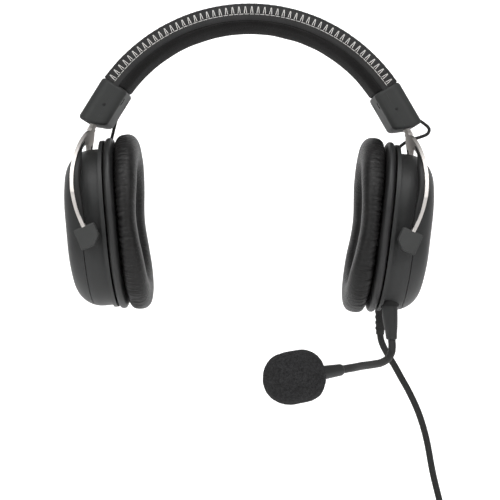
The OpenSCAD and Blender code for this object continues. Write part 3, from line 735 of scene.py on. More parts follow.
def strands(lines: Sequence[Points], radius: float, name: str, finish: Finish,
            resolution: int = 2) -> bpy.types.Object:
    """Round strands along lines, as one mesh with a "run" attribute.

    Args:
        lines: The strands' centre lines, in millimetres.
        radius: Their radius.
        name: The piece's name.
        finish: Its surface.
        resolution: Roundness of the section.

    Returns:
        The object, whose attribute holds the way along and the cosine and sine of the way round.
    """
    data = bpy.data.curves.new(name, "CURVE")
    data.dimensions, data.bevel_depth, data.bevel_resolution = "3D", radius * MM, resolution
    for line in lines:
        spline = data.splines.new("POLY")
        spline.points.add(len(line) - 1)
        for point, seat in zip(spline.points, line):
            point.co = (*(Vector(seat) * MM), 1)
    holder = bpy.data.objects.new(name, data)
    mesh = bpy.data.meshes.new_from_object(holder)
    bpy.data.objects.remove(holder)
    bpy.data.curves.remove(data)
    round_count = len(mesh.vertices) // sum(len(line) for line in lines)
    values = []
    for line in lines:
        way = 0.0
        for index, seat in enumerate(line):
            way += (Vector(seat) - Vector(line[index - 1])).length if index else 0.0
            for k in range(round_count):
                angle = 2 * math.pi * k / round_count
                values += [way, math.cos(angle), math.sin(angle)]
    layer = mesh.attributes.new("run", "FLOAT_VECTOR", "POINT")
    layer.data.foreach_set("vector", values)
    tube = bmesh.new()
    tube.from_mesh(mesh)
    bmesh.ops.holes_fill(tube, edges=[e for e in tube.edges if e.is_boundary], sides=0)
    bmesh.ops.recalc_face_normals(tube, faces=tube.faces)
    tube.to_mesh(mesh)
    tube.free()
    mesh.name = name
    return finish_mesh(mesh, name, finish, 60)


def settle(obj: bpy.types.Object, body: str, *nodes: str) -> bpy.types.Object:
    """Rides a piece on a body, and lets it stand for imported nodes."""
    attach(obj, body)
    if nodes:
        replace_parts(obj, *nodes)
    LOG.info("%s rides %s", obj.name, body)
    return obj


def swept(section: Points, frames: Sequence[Matrix]) -> Shape:
    """Carries a closed section through a row of frames.

    Args:
        section: The section's points in each frame's XY plane.
        frames: Where the section stands in turn.

    Returns:
        The closed shape.
    """
    made = Shape()
    made.chain([(u, v, 0) for u, v in section], closed=True)
    edges = list(made.bm.edges)
    bmesh.ops.transform(made.bm, matrix=frames[0], verts=made.bm.verts)
    for last, now in zip(frames, frames[1:]):
        grown = bmesh.ops.extrude_edge_only(made.bm, edges=edges)["geom"]
        edges = edges_of(grown)
        bmesh.ops.transform(made.bm, matrix=now @ last.inverted(), verts=verts_of(grown))
    return made.clean()


def aimed(start: Sequence[float], end: Sequence[float]) -> Matrix:
    """A frame at start whose Z points to end."""
    way = Vector(end) - Vector(start)
    return Matrix.Translation(start) @ way.to_track_quat("Z", "Y").to_matrix().to_4x4()


# ------------------------------------------------------------------ studio


@dataclass
class Studio:
    """Camera, lights and the pale sweep that the headset hangs in front of."""

    camera_seat: Tuple[float, float, float] = (0.8, -850.0, 7.8)
    lens: float = 102.0
    rise: float = -0.05
    roll: float = 0.85
    floor_z: float = -200.1
    depth: float = 1500.0
    front: float = 6000.0
    width: float = 9000.0
    bend: float = 500.0
    bend_steps: int = 12
    wall_top: float = 1800.0
    sensor: float = 36.0
    clip: float = 0.01
    surround: float = 0.13

    def camera(self) -> None:
        """Sets the camera level in front of the headset, with the slight roll of a hand-hung object."""
        data = bpy.data.cameras.new("camera")
        data.lens, data.sensor_width = self.lens, self.sensor
        data.clip_start, data.shift_y = self.clip, self.rise
        obj = bpy.data.objects.new("camera", data)
        bpy.context.scene.collection.objects.link(obj)
        obj.matrix_world = (Matrix.Translation(Vector(self.camera_seat) * MM)
                            @ Matrix.Rotation(math.radians(90), 4, "X")
                            @ Matrix.Rotation(math.radians(self.roll), 4, "Z"))
        bpy.context.scene.camera = obj

    def lamp(self, name: str, seat: Sequence[float], power: float, size: float) -> None:
        """Adds one square soft light that faces the headset.

        Args:
            name: Its name.
            seat: Its place in millimetres.
            power: Its power in watts.
            size: Its side in millimetres.
        """
        data = bpy.data.lights.new(name, "AREA")
        data.energy, data.size = power, size * MM
        obj = bpy.data.objects.new(name, data)
        bpy.context.scene.collection.objects.link(obj)
        way = Vector(seat) * -1
        obj.matrix_world = (Matrix.Translation(Vector(seat) * MM)
                            @ way.to_track_quat("-Z", "Y").to_matrix().to_4x4())

    def lights(self) -> None:
        """Two boxes beside the camera, a top box, and an even surround."""
        self.lamp("left box", (-620, -820, 560), 7, 320)
        self.lamp("right box", (620, -820, 560), 6, 320)
        self.lamp("top box", (0, -420, 950), 9, 420)
        world = bpy.data.worlds.new("surround")
        world.use_nodes = True
        shade = world.node_tree.nodes["Background"].inputs
        shade["Color"].default_value, shade["Strength"].default_value = (1, 1, 1, 1), self.surround
        bpy.context.scene.world = world
        bpy.context.scene.view_settings.view_transform = "Standard"

    def sweep(self) -> None:
        """A floor that curves up into the wall behind."""
        bend = self.bend
        profile = [(-self.front, self.floor_z), (self.depth - bend, self.floor_z)]
        for step in range(1, self.bend_steps + 1):
            angle = math.radians(90 / self.bend_steps * step)
            profile.append((self.depth - bend + bend * math.sin(angle),
                            self.floor_z + bend - bend * math.cos(angle)))
        profile.append((self.depth, self.wall_top))
        made = Shape.ribbon([(-self.width / 2, y, z) for y, z in profile], (self.width, 0, 0))
        made.finish("studio_sweep", PAPER)


# ------------------------------------------------------------------ cords


@dataclass
class Cords:
    """The main cord with its coil, splitter and two plugs, and the leads between band and cups."""

    cord_d: float = 4.0
    tail_d: float = 3.2
    lead_d: float = 2.0
    coil_seat: Tuple[float, float] = (76.0, 22.0)
    coil_z: float = -197.7
    layer: float = 4.12
    coil_start: float = 57.2
    steps: int = 24

    def route(self) -> List[Vector]:
        """From the strain relief down to the coil."""
        points = [[81.5, 18, -56.8], [82, 18, -61], [83.7, 18, -65.5], [86.8, 18, -71], [90.6, 18, -77],
                  [94.6, 18, -84], [98.7, 18, -91], [102.6, 18, -98.5], [105.9, 18, -106],
                  [108.7, 18, -114], [110.9, 18, -122], [112.6, 18, -130], [114.1, 18, -138],
                  [115.9, 18, -146], [118, 18, -154], [120, 18, -162], [121.5, 18.5, -171], [122, 20, -180],
                  [120.5, 25, -188.5], [116.5, 32, -194.5], [110, 39, -197.5], [101.5, 44.4, -197.8]]
        return [Vector(p) for p in points]

    def turns(self) -> List[Vector]:
        """The coil's turns, layer on layer, and the way out over its top."""
        seats = [(26.2, 0), (22.0, 0), (17.8, 0), (17.8, 1), (22.0, 1), (26.2, 1), (26.2, 2), (22.0, 2)]
        line = []
        for index, (radius, level) in enumerate(seats):
            later = seats[min(index + 1, len(seats) - 1)]
            last = index == len(seats) - 1
            for step in range(7 if last else self.steps):
                share = step / self.steps
                change = ease(share, 0.8, 1.0)
                angle = math.radians(self.coil_start + 360 * share)
                reach = radius + (later[0] - radius) * change
                if index == 0:
                    reach += 4.2 * (1 - ease(share, 0.0, 0.16))
                height = self.coil_z + self.layer * (level + (later[1] - level) * change)
                line.append(Vector((self.coil_seat[0] + reach * math.cos(angle),
                                    self.coil_seat[1] + reach * math.sin(angle), height)))
        exit_points = [[52.6, 29.5, -186.2], [48.3, 25, -185.6], [45.2, 19.5, -188.2], [44.6, 14.5, -192.6],
                       [45.6, 10, -196.2], [47.6, 6, -197.6], [49.3, 2, -197.4], [50, -2.6, -196.6]]
        return line + [Vector(p) for p in exit_points]

    def free_cord(self, line: List[Vector], diameter: float, name: str,
                  nodes: Sequence[str],
                  finish: Finish) -> bpy.types.Object:
        """Args:
            line: Its centre line in millimetres.
            diameter: Its diameter in millimetres.
            name: The piece's name.
            nodes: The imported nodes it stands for.
            finish: Its jacket.

        Returns:
            The cord.
        """
        obj = settle(strands([line], diameter / 2, name, finish, 4), "left_cup", *nodes)
        [c * MM for c in line[0]]
        line_length(line) * MM
        [[c * MM for c in p] for p in line]
        LOG.info("%s is %.0f mm long", name, line_length(line))
        return obj

    def splitter(self) -> bpy.types.Object:
        """The moulded body where the cord divides, with grip ribs."""
        body = Shape.block((45, -30, -199.4), (55, -2, -193.6))
        bmesh.ops.subdivide_edges(body.bm, edges=[e for e in body.bm.edges
                                  if abs((e.verts[0].co - e.verts[1].co).y) > 1], cuts=9)
        body.shift(lambda c: Vector((50 + (c.x - 50) * (1 - 0.4 * ease(c.y, -16, -2)
                                                        + 0.03 * math.cos(c.y * 2.1)), c.y,
                                     -196.5 + (c.z + 196.5) * (1 - 0.22 * ease(c.y, -14, -2)))))
        body.bevel(1.5, 4, lambda e: e.calc_face_angle(0) > 0.9)
        for k in range(4):
            body.add(Shape.turned([(0, 0), (3.2, 0), (3.2, 0.9), (0, 0.9)], 32).place(
                Matrix.Translation((50, -2.4 + 1.7 * k, -196.6)) @ Matrix.Rotation(math.radians(-90), 4, "X")
                @ Matrix.Scale(1 - 0.07 * k, 4)))
        return settle(body.finish("cord_splitter", RUBBER, weighted=True), "left_cup", "splitter")

    def plug(self, name: str, node: str, seat: Sequence[float], barrel: float, pin: float,
             reach: float) -> List[bpy.types.Object]:
        """One plug: a grip barrel with its relief, and a turned pin with its insulators.

        Args:
            name: First word of the pieces' names.
            node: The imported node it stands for.
            seat: Where the tail enters it.
            barrel: The barrel's radius.
            pin: The pin's radius.
            reach: The pin's length.

        Returns:
            The grip, the pin and its insulators.
        """
        where = Matrix.Translation(seat) @ Matrix.Rotation(math.radians(-90), 4, "Y")
        grip = [(0, 0), (1.9, 0), (2.2, 0.4)]
        for k in range(4):
            z = 1.2 + 1.9 * k
            wider = 0.2 * k
            grip += [(2.3 + wider, z), (2.9 + wider, z + 0.25), (2.9 + wider, z + 1.0), (2.4 + wider, z + 1.25)]
        grip += [(barrel - 1.4, 9), (barrel - 0.5, 9.6), (barrel, 10.8)]
        for k in range(7):
            z = 14 + 2.1 * k
            grip += [(barrel, z), (barrel - 0.35, z + 0.4), (barrel - 0.35, z + 0.9), (barrel, z + 1.3)]
        grip += [(barrel, 36.5), (barrel - 0.3, 38.4), (barrel - 1.3, 39.4), (barrel - 2, 39.6), (0, 39.6)]
        tip = 40 + reach
        neck = pin * 0.72
        metal = [(0, 38.6), (pin + 0.7, 38.6), (pin + 0.7, 40.6), (pin, 40.9), (pin, tip - 9.6),
                 (pin * 0.93, tip - 9.5), (pin * 0.93, tip - 8.3), (pin, tip - 8.2), (pin, tip - 6.4),
                 (neck, tip - 5.0), (neck, tip - 4.2), (pin * 0.96, tip - 3.0), (pin * 0.9, tip - 2.0),
                 (pin * 0.5, tip - 0.5), (pin * 0.25, tip - 0.1), (0, tip)]
        ring = [(0, tip - 9.45), (pin * 0.985, tip - 9.45), (pin * 0.985, tip - 8.35), (0, tip - 8.35)]
        pieces = []
        for word, profile, finish in (("grip", grip, DARK_PLASTIC), ("pin", metal, PLUG_METAL),
                                      ("insulator", ring, RUBBER)):
            obj = Shape.turned(profile).place(where).finish(f"{name}_{word}", finish, 35)
            pieces.append(settle(obj, "left_cup", *([node] if word == "grip" else [])))
        return pieces

    def tie(self) -> bpy.types.Object:
        """A hook-and-loop strap round the coil, with its loose end laid over."""
        low, high = (90.9, -199.9), (105.1, -186.0)
        corner = []
        for cx, cz, start in ((high[0] - 3, low[1] + 1.6, 270), (high[0] - 4, high[1] - 4, 0),
                              (low[0] + 4, high[1] - 4, 90), (low[0] + 3, low[1] + 1.6, 180)):
            radius = 1.6 if start in (270, 180) else 4.0
            reach = 3.0 if start in (270, 180) else 4.0
            for k in range(7):
                angle = math.radians(start + 15 * k)
                corner.append((cx + reach * math.cos(angle), cz + radius * math.sin(angle)))
        made = Shape.ribbon([(x, 17.5, z) for x, z in corner], (0, 9, 0), closed=True)
        bmesh.ops.solidify(made.bm, geom=made.bm.faces[:], thickness=0.7)
        made.clean()
        made.add(Shape.block((95, 17.5, -185.9), (104, 26.5, -185.1)).bevel(0.3, 2))
        return settle(made.finish("coil_strap", EAR_CLOTH), "left_cup", "coil_tie")

    def lead(self, side: Side, points: Points, cut: int, nodes: Sequence[str]) -> None:
        """One lead from a cap to its cup, in two pieces that meet on the fork.

        Args:
            side: Which side.
            points: The points it passes.
            cut: At which of them it is divided.
            nodes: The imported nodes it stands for.
        """
        steps = 5
        line = smooth_line(points, steps)
        parts = (line[:cut * steps + 1], line[cut * steps:])
        bodies = ("headband", f"{side.word}_fork", f"{side.word}_cup")
        for index, part in enumerate(parts):
            word = ("upper", "lower")[index]
            obj = strands([part], self.lead_d / 2, f"{side.word}_lead_{word}", LEAD_JACKET, 3)
            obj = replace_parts(obj, *nodes) if index == 0 else obj
            bodies[index + 1]
            part[0] * MM
            part[-1] * MM
            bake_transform(obj)
            LOG.info("%s blends %s and %s", obj.name, bodies[index], bodies[index + 1])
        length = line_length(parts[0])
        [c * MM for c in parts[0][0]]
        [[c * MM for c in p] for p in parts[0]]
        LOG.info("%s lead is %.0f mm long", side.word, line_length(line))

    def build(self) -> None:
        """Makes every cord with the pieces on it."""
        splitter, strap = self.splitter(), self.tie()
        line = smooth_line(self.route() + self.turns(), 2)
        self.free_cord(line, self.cord_d, "main_cord_braided",
                       ["main_cord", "cord_coil"], CORD_BRAID)
        phone = [[47.6, -29, -196.5], [47.4, -36, -197.5], [45, -44, -198.3], [38, -50, -198.4],
                 [28, -52, -198.4], [16, -52, -198.4], [4, -52, -197.6], [-6, -52, -195],
                 [-15, -52, -193.5]]
        mic = [[52.4, -29, -196.5], [52.8, -37, -197.6], [53, -46, -198.4], [52, -56, -198.4],
               [47, -64, -198.4], [38, -69, -198.4], [27, -70, -198.4], [15, -70, -198.4],
               [4, -70, -197.8], [-6, -70, -195.4], [-15, -70, -194]]
        for word, points, barrel, pin, reach in (("phone", phone, 6.4, 3.175, 30.0),
                                                 ("mic", mic, 5.9, 2.615, 28.0)):
            plug = self.plug(f"{word}_jack", f"{word}_plug", (-14, *points[-1][1:]), barrel, pin, reach)
            self.free_cord(smooth_line(points, 4), self.tail_d, f"{word}_tail_braided",
                           [f"{word}_tail"], CORD_BRAID)
        self.lead(Side.RIGHT, [[-79, 20, 86], [-79.2, 22.5, 85.4], [-80.2, 26, 81], [-82.5, 28.5, 74],
                               [-84.5, 30, 66.5], [-86.2, 31, 59.5], [-88.2, 31.2, 52.5],
                               [-90, 30.4, 46], [-91, 28.6, 39.5]], 5, ["right_lead"])
        self.lead(Side.LEFT, [[94, 20, 79], [94.4, 22.8, 78.9], [99, 26.4, 76.6], [105.5, 27.5, 73.6],
                              [110.6, 27.5, 69.5], [110, 27.5, 66], [106, 28, 64], [101, 28.8, 62.4],
                              [96.2, 29.8, 60.2], [92.2, 30.8, 56.4], [90.6, 31.2, 51],
                              [90.6, 30.4, 45.5], [91, 28.6, 39.5]], 8, ["left_lead"])


# ------------------------------------------------------------------ headband


@dataclass
class Headband:
    """The padded arc: outer roll, inner cushion, laced edges and the panel along the top."""

    centre_z: float = 33.0
    inner_r: float = 90.0
    seam_r: float = 95.0
    outer_r: float = 105.0
    half_angle: float = 55.0
    half_w: float = 19.0
    edge: float = 5.5
    stitch_r: float = 98.7
    pitch: float = 3.72
    lace_reach: float = 4.9
    thread_gap: float = 0.62
    panel_half: float = 18.1
    crown: float = 2.4
    arc_r: float = 100.0
    swell_r: float = 92.0
    lacing_thread_r: float = 0.19
    running_thread_r: float = 0.16
    stitch_pitch: float = 3.1
    stitch_l: float = 2.9

    @property
    def flat_half(self) -> float:
        """Half width of the flat part between the rounded edges."""
        return self.half_w - self.edge

    def polar(self, place: Vector) -> Tuple[float, float]:
        """Radius and angle of a place, the angle from the top towards +X."""
        up = place.z - self.centre_z
        return math.hypot(place.x, up), math.atan2(place.x, up)

    def point(self, radius: float, angle: float, y: float) -> Vector:
        """The place at a radius, an angle and a distance to the rear."""
        return Vector((radius * math.sin(angle), y, self.centre_z + radius * math.cos(angle)))

    def outer_edge(self, way: float, lift: float = 0.0) -> Tuple[float, float]:
        """Radius and half width on the surface, a way above the stitch line round the outer edge.

        Args:
            way: Distance along the surface from the stitch line.
            lift: Height over the surface.

        Returns:
            The radius and the distance from the middle.
        """
        centre = self.outer_r - self.edge
        side = centre - self.stitch_r
        if way <= side:
            return self.stitch_r + way, self.half_w + lift
        turn = (way - side) / self.edge
        return (centre + (self.edge + lift) * math.sin(turn),
                self.flat_half + (self.edge + lift) * math.cos(turn))

    def spun(self, section: Points, steps: int, trim: float = 0.0) -> Shape:
        """Carries a closed section of radius and width along the arc."""
        made = Shape()
        half = math.radians(self.half_angle - trim)
        line = made.chain([self.point(r, -half, y) for r, y in section], closed=True)
        bmesh.ops.spin(made.bm, geom=line, cent=(0, 0, self.centre_z), axis=(0, 1, 0),
                       angle=2 * half, steps=steps, use_merge=False, use_duplicate=False)
        return made.clean()

    def spread(self, share: float) -> float:
        """Distance of a lacing thread from its pair's middle, at a share of its reach."""
        return self.thread_gap * (1 - share) + 0.12

    def run(self, place: Vector) -> Tuple[float, float, float]:
        """Way along the arc, way across, and radius."""
        radius, angle = self.polar(place)
        return angle * self.arc_r, place.y, radius

    def outer_roll(self) -> bpy.types.Object:
        """The outer leather, puffed between its lacing."""
        ways = [0.35 * k for k in range(0, 3)] + [0.8 + 0.62 * k for k in range(0, 14)]
        side = [(self.seam_r, self.half_w - 0.03), (95.9, self.half_w), (97.0, self.half_w),
                (97.8, self.half_w), (98.3, self.half_w)] + [self.outer_edge(w) for w in ways]
        top = [(self.outer_r, y) for y in (12, 8, 4, 0)]
        half = side + top
        section = half + [(r, -y) for r, y in reversed(half[:-1])]
        section += [(self.seam_r, y) for y in (-12, -5, 5, 12)]
        made = self.spun(section, 500)
        centre = self.outer_r - self.edge

        def puff(place: Vector) -> Vector:
            """Pushes the leather out between the threads and in along the seam."""
            radius, angle = self.polar(place)
            along, sign = angle * self.arc_r, math.copysign(1, place.y)
            reach = abs(place.y) - self.flat_half
            if radius < self.seam_r + 0.01 and reach < self.edge - 0.2:
                return place
            turn = math.atan2(radius - centre, reach) if reach > 0 and radius > centre else 0.0
            way = radius - self.stitch_r if radius <= centre else centre - self.stitch_r + self.edge * turn
            if reach <= 0:
                way = self.lace_reach + 1
            soft = 0.12 * noise.noise(Vector((along / 9, place.y / 6, radius / 5)))
            lift = soft - 0.42 * math.exp(-((radius - self.stitch_r) / 0.45) ** 2) * (reach > self.edge - 1)
            if radius < self.stitch_r:
                lift += 0.5 * math.sin(math.pi * ease(radius, self.swell_r, self.stitch_r + 2.5))
            if 0 < way < self.lace_reach:
                share = way / self.lace_reach
                bell = math.sin(math.pi * share) ** 0.4
                away = abs((along / self.pitch + 0.5) % 1 - 0.5) * self.pitch
                wave = ease(away, self.spread(share), self.spread(share) + 0.75)
                wander = 0.14 * noise.noise(Vector((along / 2.3, way / 2.5, sign)))
                lift += bell * (0.6 * wave - 0.12 + wander * wave)
            out = self.point(1, angle, 0) - Vector((0, 0, self.centre_z))
            return place + out * lift * math.sin(turn) + Vector((0, sign * lift * math.cos(turn), 0))

        made.shift(puff)
        return settle(made.finish("band_outer_roll", LACED_LEATHER, 180, self.run), "headband",
                      "headband_cover")

    def cushion(self) -> bpy.types.Object:
        """The soft pad that rests on the head."""
        centre = self.inner_r + self.edge
        half = []
        for k in range(11):
            turn = math.radians(5.7 + (90 - 5.7) * k / 10)
            half.append((centre - self.edge * math.sin(turn), self.flat_half + self.edge * math.cos(turn)))
        half += [(self.inner_r, y) for y in (10, 6, 3, 0)]
        section = half + [(r, -y) for r, y in reversed(half[:-1])]
        section += [(self.seam_r, y) for y in (-12, -4, 4, 12)]
        made = self.spun(section, 280)

        def sag(place: Vector) -> Vector:
            """Gives the pad a slight crown, fullest at the top of the arc, and soft hollows."""
            radius, angle = self.polar(place)
            low = 1 - ease(radius, self.inner_r, self.seam_r)
            crown = 0.5 * math.cos(place.y / self.half_w * math.pi / 2) * low
            crown -= self.crown * (place.y / self.flat_half) ** 2 * low * math.cos(angle) ** 4
            soft = 0.22 * low * noise.noise(Vector((angle * 9, place.y / 9, 0.5)))
            rise = ease(radius, self.swell_r, self.stitch_r + 2.5)
            swell = 0.5 * math.sin(math.pi * rise) if radius > self.swell_r else 0
            left = (math.radians(self.half_angle) - abs(angle)) * self.seam_r / 3.2
            shrink = 0.25 + 0.75 * math.sqrt(max(0.0, 1 - (1 - min(1.0, left)) ** 2))
            radius = self.seam_r + (radius - crown - soft - self.seam_r) * shrink
            across = place.y + math.copysign(swell, place.y) * (abs(place.y) > self.flat_half)
            return self.point(radius, angle, across * (0.9 + 0.1 * shrink))

        made.shift(sag)
        # Its leatherette's darker colour is painted shade for the band's underside.
        return settle(made.finish("band_cushion", SHADED_CUSHION_LEATHER, 180, self.run), "headband",
                      "headband_cushion")

    def panel(self) -> bpy.types.Object:
        """The strip of leather along the top, drawn in at every stitch."""
        count = 28
        top, under = [], []
        for k in range(count + 1):
            y = self.panel_half * (2 * k / count - 1)
            reach = max(0.0, abs(y) - self.flat_half)
            skin = self.outer_r - self.edge + math.sqrt(self.edge ** 2 - reach ** 2)
            top.append((skin + 0.12 + 0.72 * (1 - (abs(y) / self.panel_half) ** 5), y))
            under.append((skin - 0.5, y))
        made = self.spun(top + under[::-1], 500, 0.2)

        def gather(place: Vector) -> Vector:
            """Draws the strip's edges in at the stitches."""
            radius, angle = self.polar(place)
            edge = ease(abs(place.y), 11.5, self.panel_half)
            wave = math.cos(2 * math.pi * angle * self.arc_r / self.pitch)
            lift = edge * (-0.1 * wave) + 0.1 * noise.noise(Vector((angle * 14, place.y / 7, 3)))
            return self.point(radius + lift, angle, place.y - math.copysign(0.16 * edge * (1 + wave), place.y))

        made.shift(gather)
        return settle(made.finish("band_top_panel", LACED_LEATHER, 180, self.run), "headband",
                      "headband_lacing")

    def threads(self) -> None:
        """Pairs of slanting lacing threads, and the running stitch below them."""
        half = math.radians(self.half_angle - 0.7) * self.arc_r
        count = int(half // self.pitch)
        lacing, running = [], []
        for sign in (-1, 1):
            for k in range(-count, count + 1):
                along = k * self.pitch
                for hand in (-1, 1):
                    line = []
                    for step in range(9):
                        share = 0.1 + 0.86 * step / 8
                        radius, y = self.outer_edge(self.lace_reach * share, 0.08)
                        place = (along + hand * self.spread(share)) / self.arc_r
                        line.append(self.point(radius, place, sign * y))
                    lacing.append(line)
            for k in range(int(-half / self.stitch_pitch), int(half / self.stitch_pitch) + 1):
                line = []
                for step in range(6):
                    share = step / 5
                    dip = 0.3 * (2 * share - 1) ** 6
                    place = (k * self.stitch_pitch + (share - 0.5) * self.stitch_l) / self.arc_r
                    line.append(self.point(self.stitch_r - 0.1, place, sign * (self.half_w + 0.02 - dip)))
                running.append(line)
        settle(strands(lacing, self.lacing_thread_r, "lacing_threads", LACE_THREAD, 1), "headband")
        settle(strands(running, self.running_thread_r, "running_stitch", LACE_THREAD, 1), "headband")

    def build(self) -> None:
        """Makes the band's pieces."""
        self.outer_roll()
        self.cushion()
        self.panel()
        self.threads()


@dataclass
class EndCap:
    """A two-part cap that clamps the band's spring and guides the fork's tongue."""

    side: Side
    low: Tuple[float, float, float] = (-8.3, -20.0, -1.4)
    high: Tuple[float, float, float] = (8.9, 20.0, 26.6)
    split: float = 2.25
    outer_round: float = 6.4
    inner_round: float = 4.4
    rim: float = 2.0
    slant: float = 0.42
    seat: Tuple[float, float, float] = (-93.6, 0, 66.8)
    travel_turn: float = 31.0

    @property
    def frame(self) -> Matrix:
        """The cap's own frame: Z up along the fork's travel, X to the head."""
        return (self.side.mirror() @ Matrix.Translation(self.seat)
                @ Matrix.Rotation(math.radians(self.travel_turn), 4, "Y"))

    def body(self) -> Shape:
        """The whole cap, rounded, with its slot and screw holes."""
        made = Shape.block(self.low, self.high)

        def upright(outer: bool) -> Callable[[bmesh.types.BMEdge], bool]:
            """Picks the upright edges of one face."""
            def test(edge: bmesh.types.BMEdge) -> bool:
                """Whether an edge runs up the chosen face."""
                a, b = (v.co for v in edge.verts)
                return abs(a.z - b.z) > 20 and (a.x < 0) == outer
            return test

        made.bevel(self.outer_round, 10, upright(True))
        made.bevel(self.inner_round, 8, upright(False))
        made.bevel(self.rim, 5, lambda e: all(v.co.z < self.low[2] + 0.01 for v in e.verts)
                   or all(v.co.z > self.high[2] - 0.01 for v in e.verts))
        made.shift(lambda c: Vector((c.x, c.y, c.z + self.slant * max(0.0, c.x + 1.5) * (c.z < 8))))
        made.cut(Shape.block((-1.35, -8.4, -3), (1.35, 8.4, 9)))
        for y in (-12, 12):
            made.cut(Shape.rod(2.45, 5).place(Matrix.Translation((7.5, y, 20))
                                              @ Matrix.Rotation(math.radians(90), 4, "Y")))
        return made

    def half(self, outer: bool) -> bpy.types.Object:
        """One half of the cap, cut at its joint."""
        made = self.body()
        place = self.split + (-0.01 if outer else 0.01)
        bmesh.ops.bisect_plane(made.bm, geom=made.bm.verts[:] + made.bm.edges[:] + made.bm.faces[:],
                               plane_co=(place, 0, 0), plane_no=(1, 0, 0),
                               clear_outer=outer, clear_inner=not outer)
        made.clean(1e-3)
        word = "outer" if outer else "inner"
        made.place(self.frame)
        obj = made.finish(f"{self.side.word}_cap_{word}_half", CAP_PLASTIC, 32, weighted=True)
        return settle(obj, "headband", f"{self.side.word}_cap_{word}")

    def build(self) -> None:
        """Makes both halves and the small side pip."""
        self.half(True)
        self.half(False)
        pip = Shape.turned([(0, 0), (0.95, 0), (0.95, 0.12), (0.7, 0.34), (0.3, 0.42), (0, 0.44)], 24)
        pip.place(self.frame @ Matrix.Translation((1.4, -19.95, 13))
                  @ Matrix.Rotation(math.radians(90), 4, "X"))
        settle(pip.finish(f"{self.side.word}_side_pip", DARK_PLASTIC), "headband")


# ------------------------------------------------------------------ forks


@dataclass
class Fork:
    """What is fixed to a fork: the dark liners of its arms, whose darkness is partly painted shade between arm
    and cup, and the two pivot blocks.
    """

    side: Side
    bow_r: float = 64.0
    bow_x: float = -36.0
    bow_z: float = 36.0
    arch_r: float = 46.4
    arch_z: float = 13.0
    arm_y: float = 45.4
    block: float = 12.4
    block_turn: float = 24.0
    chamfer: float = 4.6
    block_low: float = 41.8
    block_high: float = 49.0
    pivot_x: float = -91.0

    def on_sheet(self, y: float, z: float) -> Vector:
        """A place on the sheet's head side."""
        return Vector((self.bow_x - math.sqrt(self.bow_r ** 2 - (z - self.bow_z) ** 2), y, z))

    def liner(self, front: int) -> Shape:
        """A soft dark liner along one arm and up the yoke: it is a dark inner face and also painted shade,
        standing in for the shade in the gap between arm and cup.
        """
        way = [(self.arm_y, z) for z in (7.5, 9, 11)]
        way += [(self.arch_r * math.cos(a), self.arch_z + self.arch_r * math.sin(a))
                for a in (math.radians(4 * k) for k in range(0, 17))]
        places = [self.on_sheet(front * y, z) for y, z in way]
        frames = []
        for index, place in enumerate(places):
            ahead = (places[min(index + 1, len(places) - 1)] - places[max(index - 1, 0)]).normalized()
            inward = Vector((self.bow_x - place.x, 0, self.bow_z - place.z)).normalized()
            across = inward.cross(ahead).normalized()
            inward = ahead.cross(across)
            thick = 0.5 + 2.9 * ease(place.z, 4, 20) * (1 - 0.95 * ease(place.z, 41, 54))
            wide = 1 - 0.72 * ease(place.z, 40, 54)
            turn = Matrix((across * wide, inward * thick, ahead)).transposed().to_4x4()
            frames.append(Matrix.Translation(place) @ turn)
        section = [(-2.9, -0.02), (-2.9, 0.6), (-2.5, 0.88), (-1.8, 1.0), (1.8, 1.0), (2.5, 0.88),
                   (2.9, 0.6), (2.9, -0.02)]
        return swept(section, frames)

    def blocks(self) -> Shape:
        """The two pivot blocks with their chamfered corner."""
        half, cut = self.block / 2, self.block / 2 - self.chamfer
        turn = Matrix.Rotation(math.radians(self.block_turn), 2)
        outline = [turn @ Vector(p) for p in ((-half, -half), (cut, -half), (half, -cut), (half, half),
                                              (-half, half))]
        made = Shape()
        for front in (False, True):
            seat = (Matrix.Scale(-1, 4, (0, 1, 0)) if front else Matrix.Identity(4))
            ends = [Matrix.Translation((self.pivot_x, y, 0)) @ Matrix.Rotation(math.radians(90), 4, "X")
                    for y in (self.block_high, self.block_low)]
            made.add(swept(outline, ends).bevel(0.95, 5).place(seat))
        return made

    def build(self) -> None:
        """Makes the liners, partly painted shade, and the blocks."""
        word, body = self.side.word, f"{self.side.word}_fork"
        shade_liners = self.liner(-1)
        shade_liners.add(self.liner(1))
        # The liners' dark plastic is partly painted shade: it darkens the gap between arm and cup.
        settle(shade_liners.place(self.side.mirror()).finish(f"{word}_arm_liners", DARK_PLASTIC), body)
        blocks = self.blocks().place(self.side.mirror())
        obj = blocks.finish(f"{word}_pivot_grips", GRIP_PLASTIC, 30, weighted=True)
        settle(obj, body, f"{word}_pivot_blocks")


# ------------------------------------------------------------------ cups


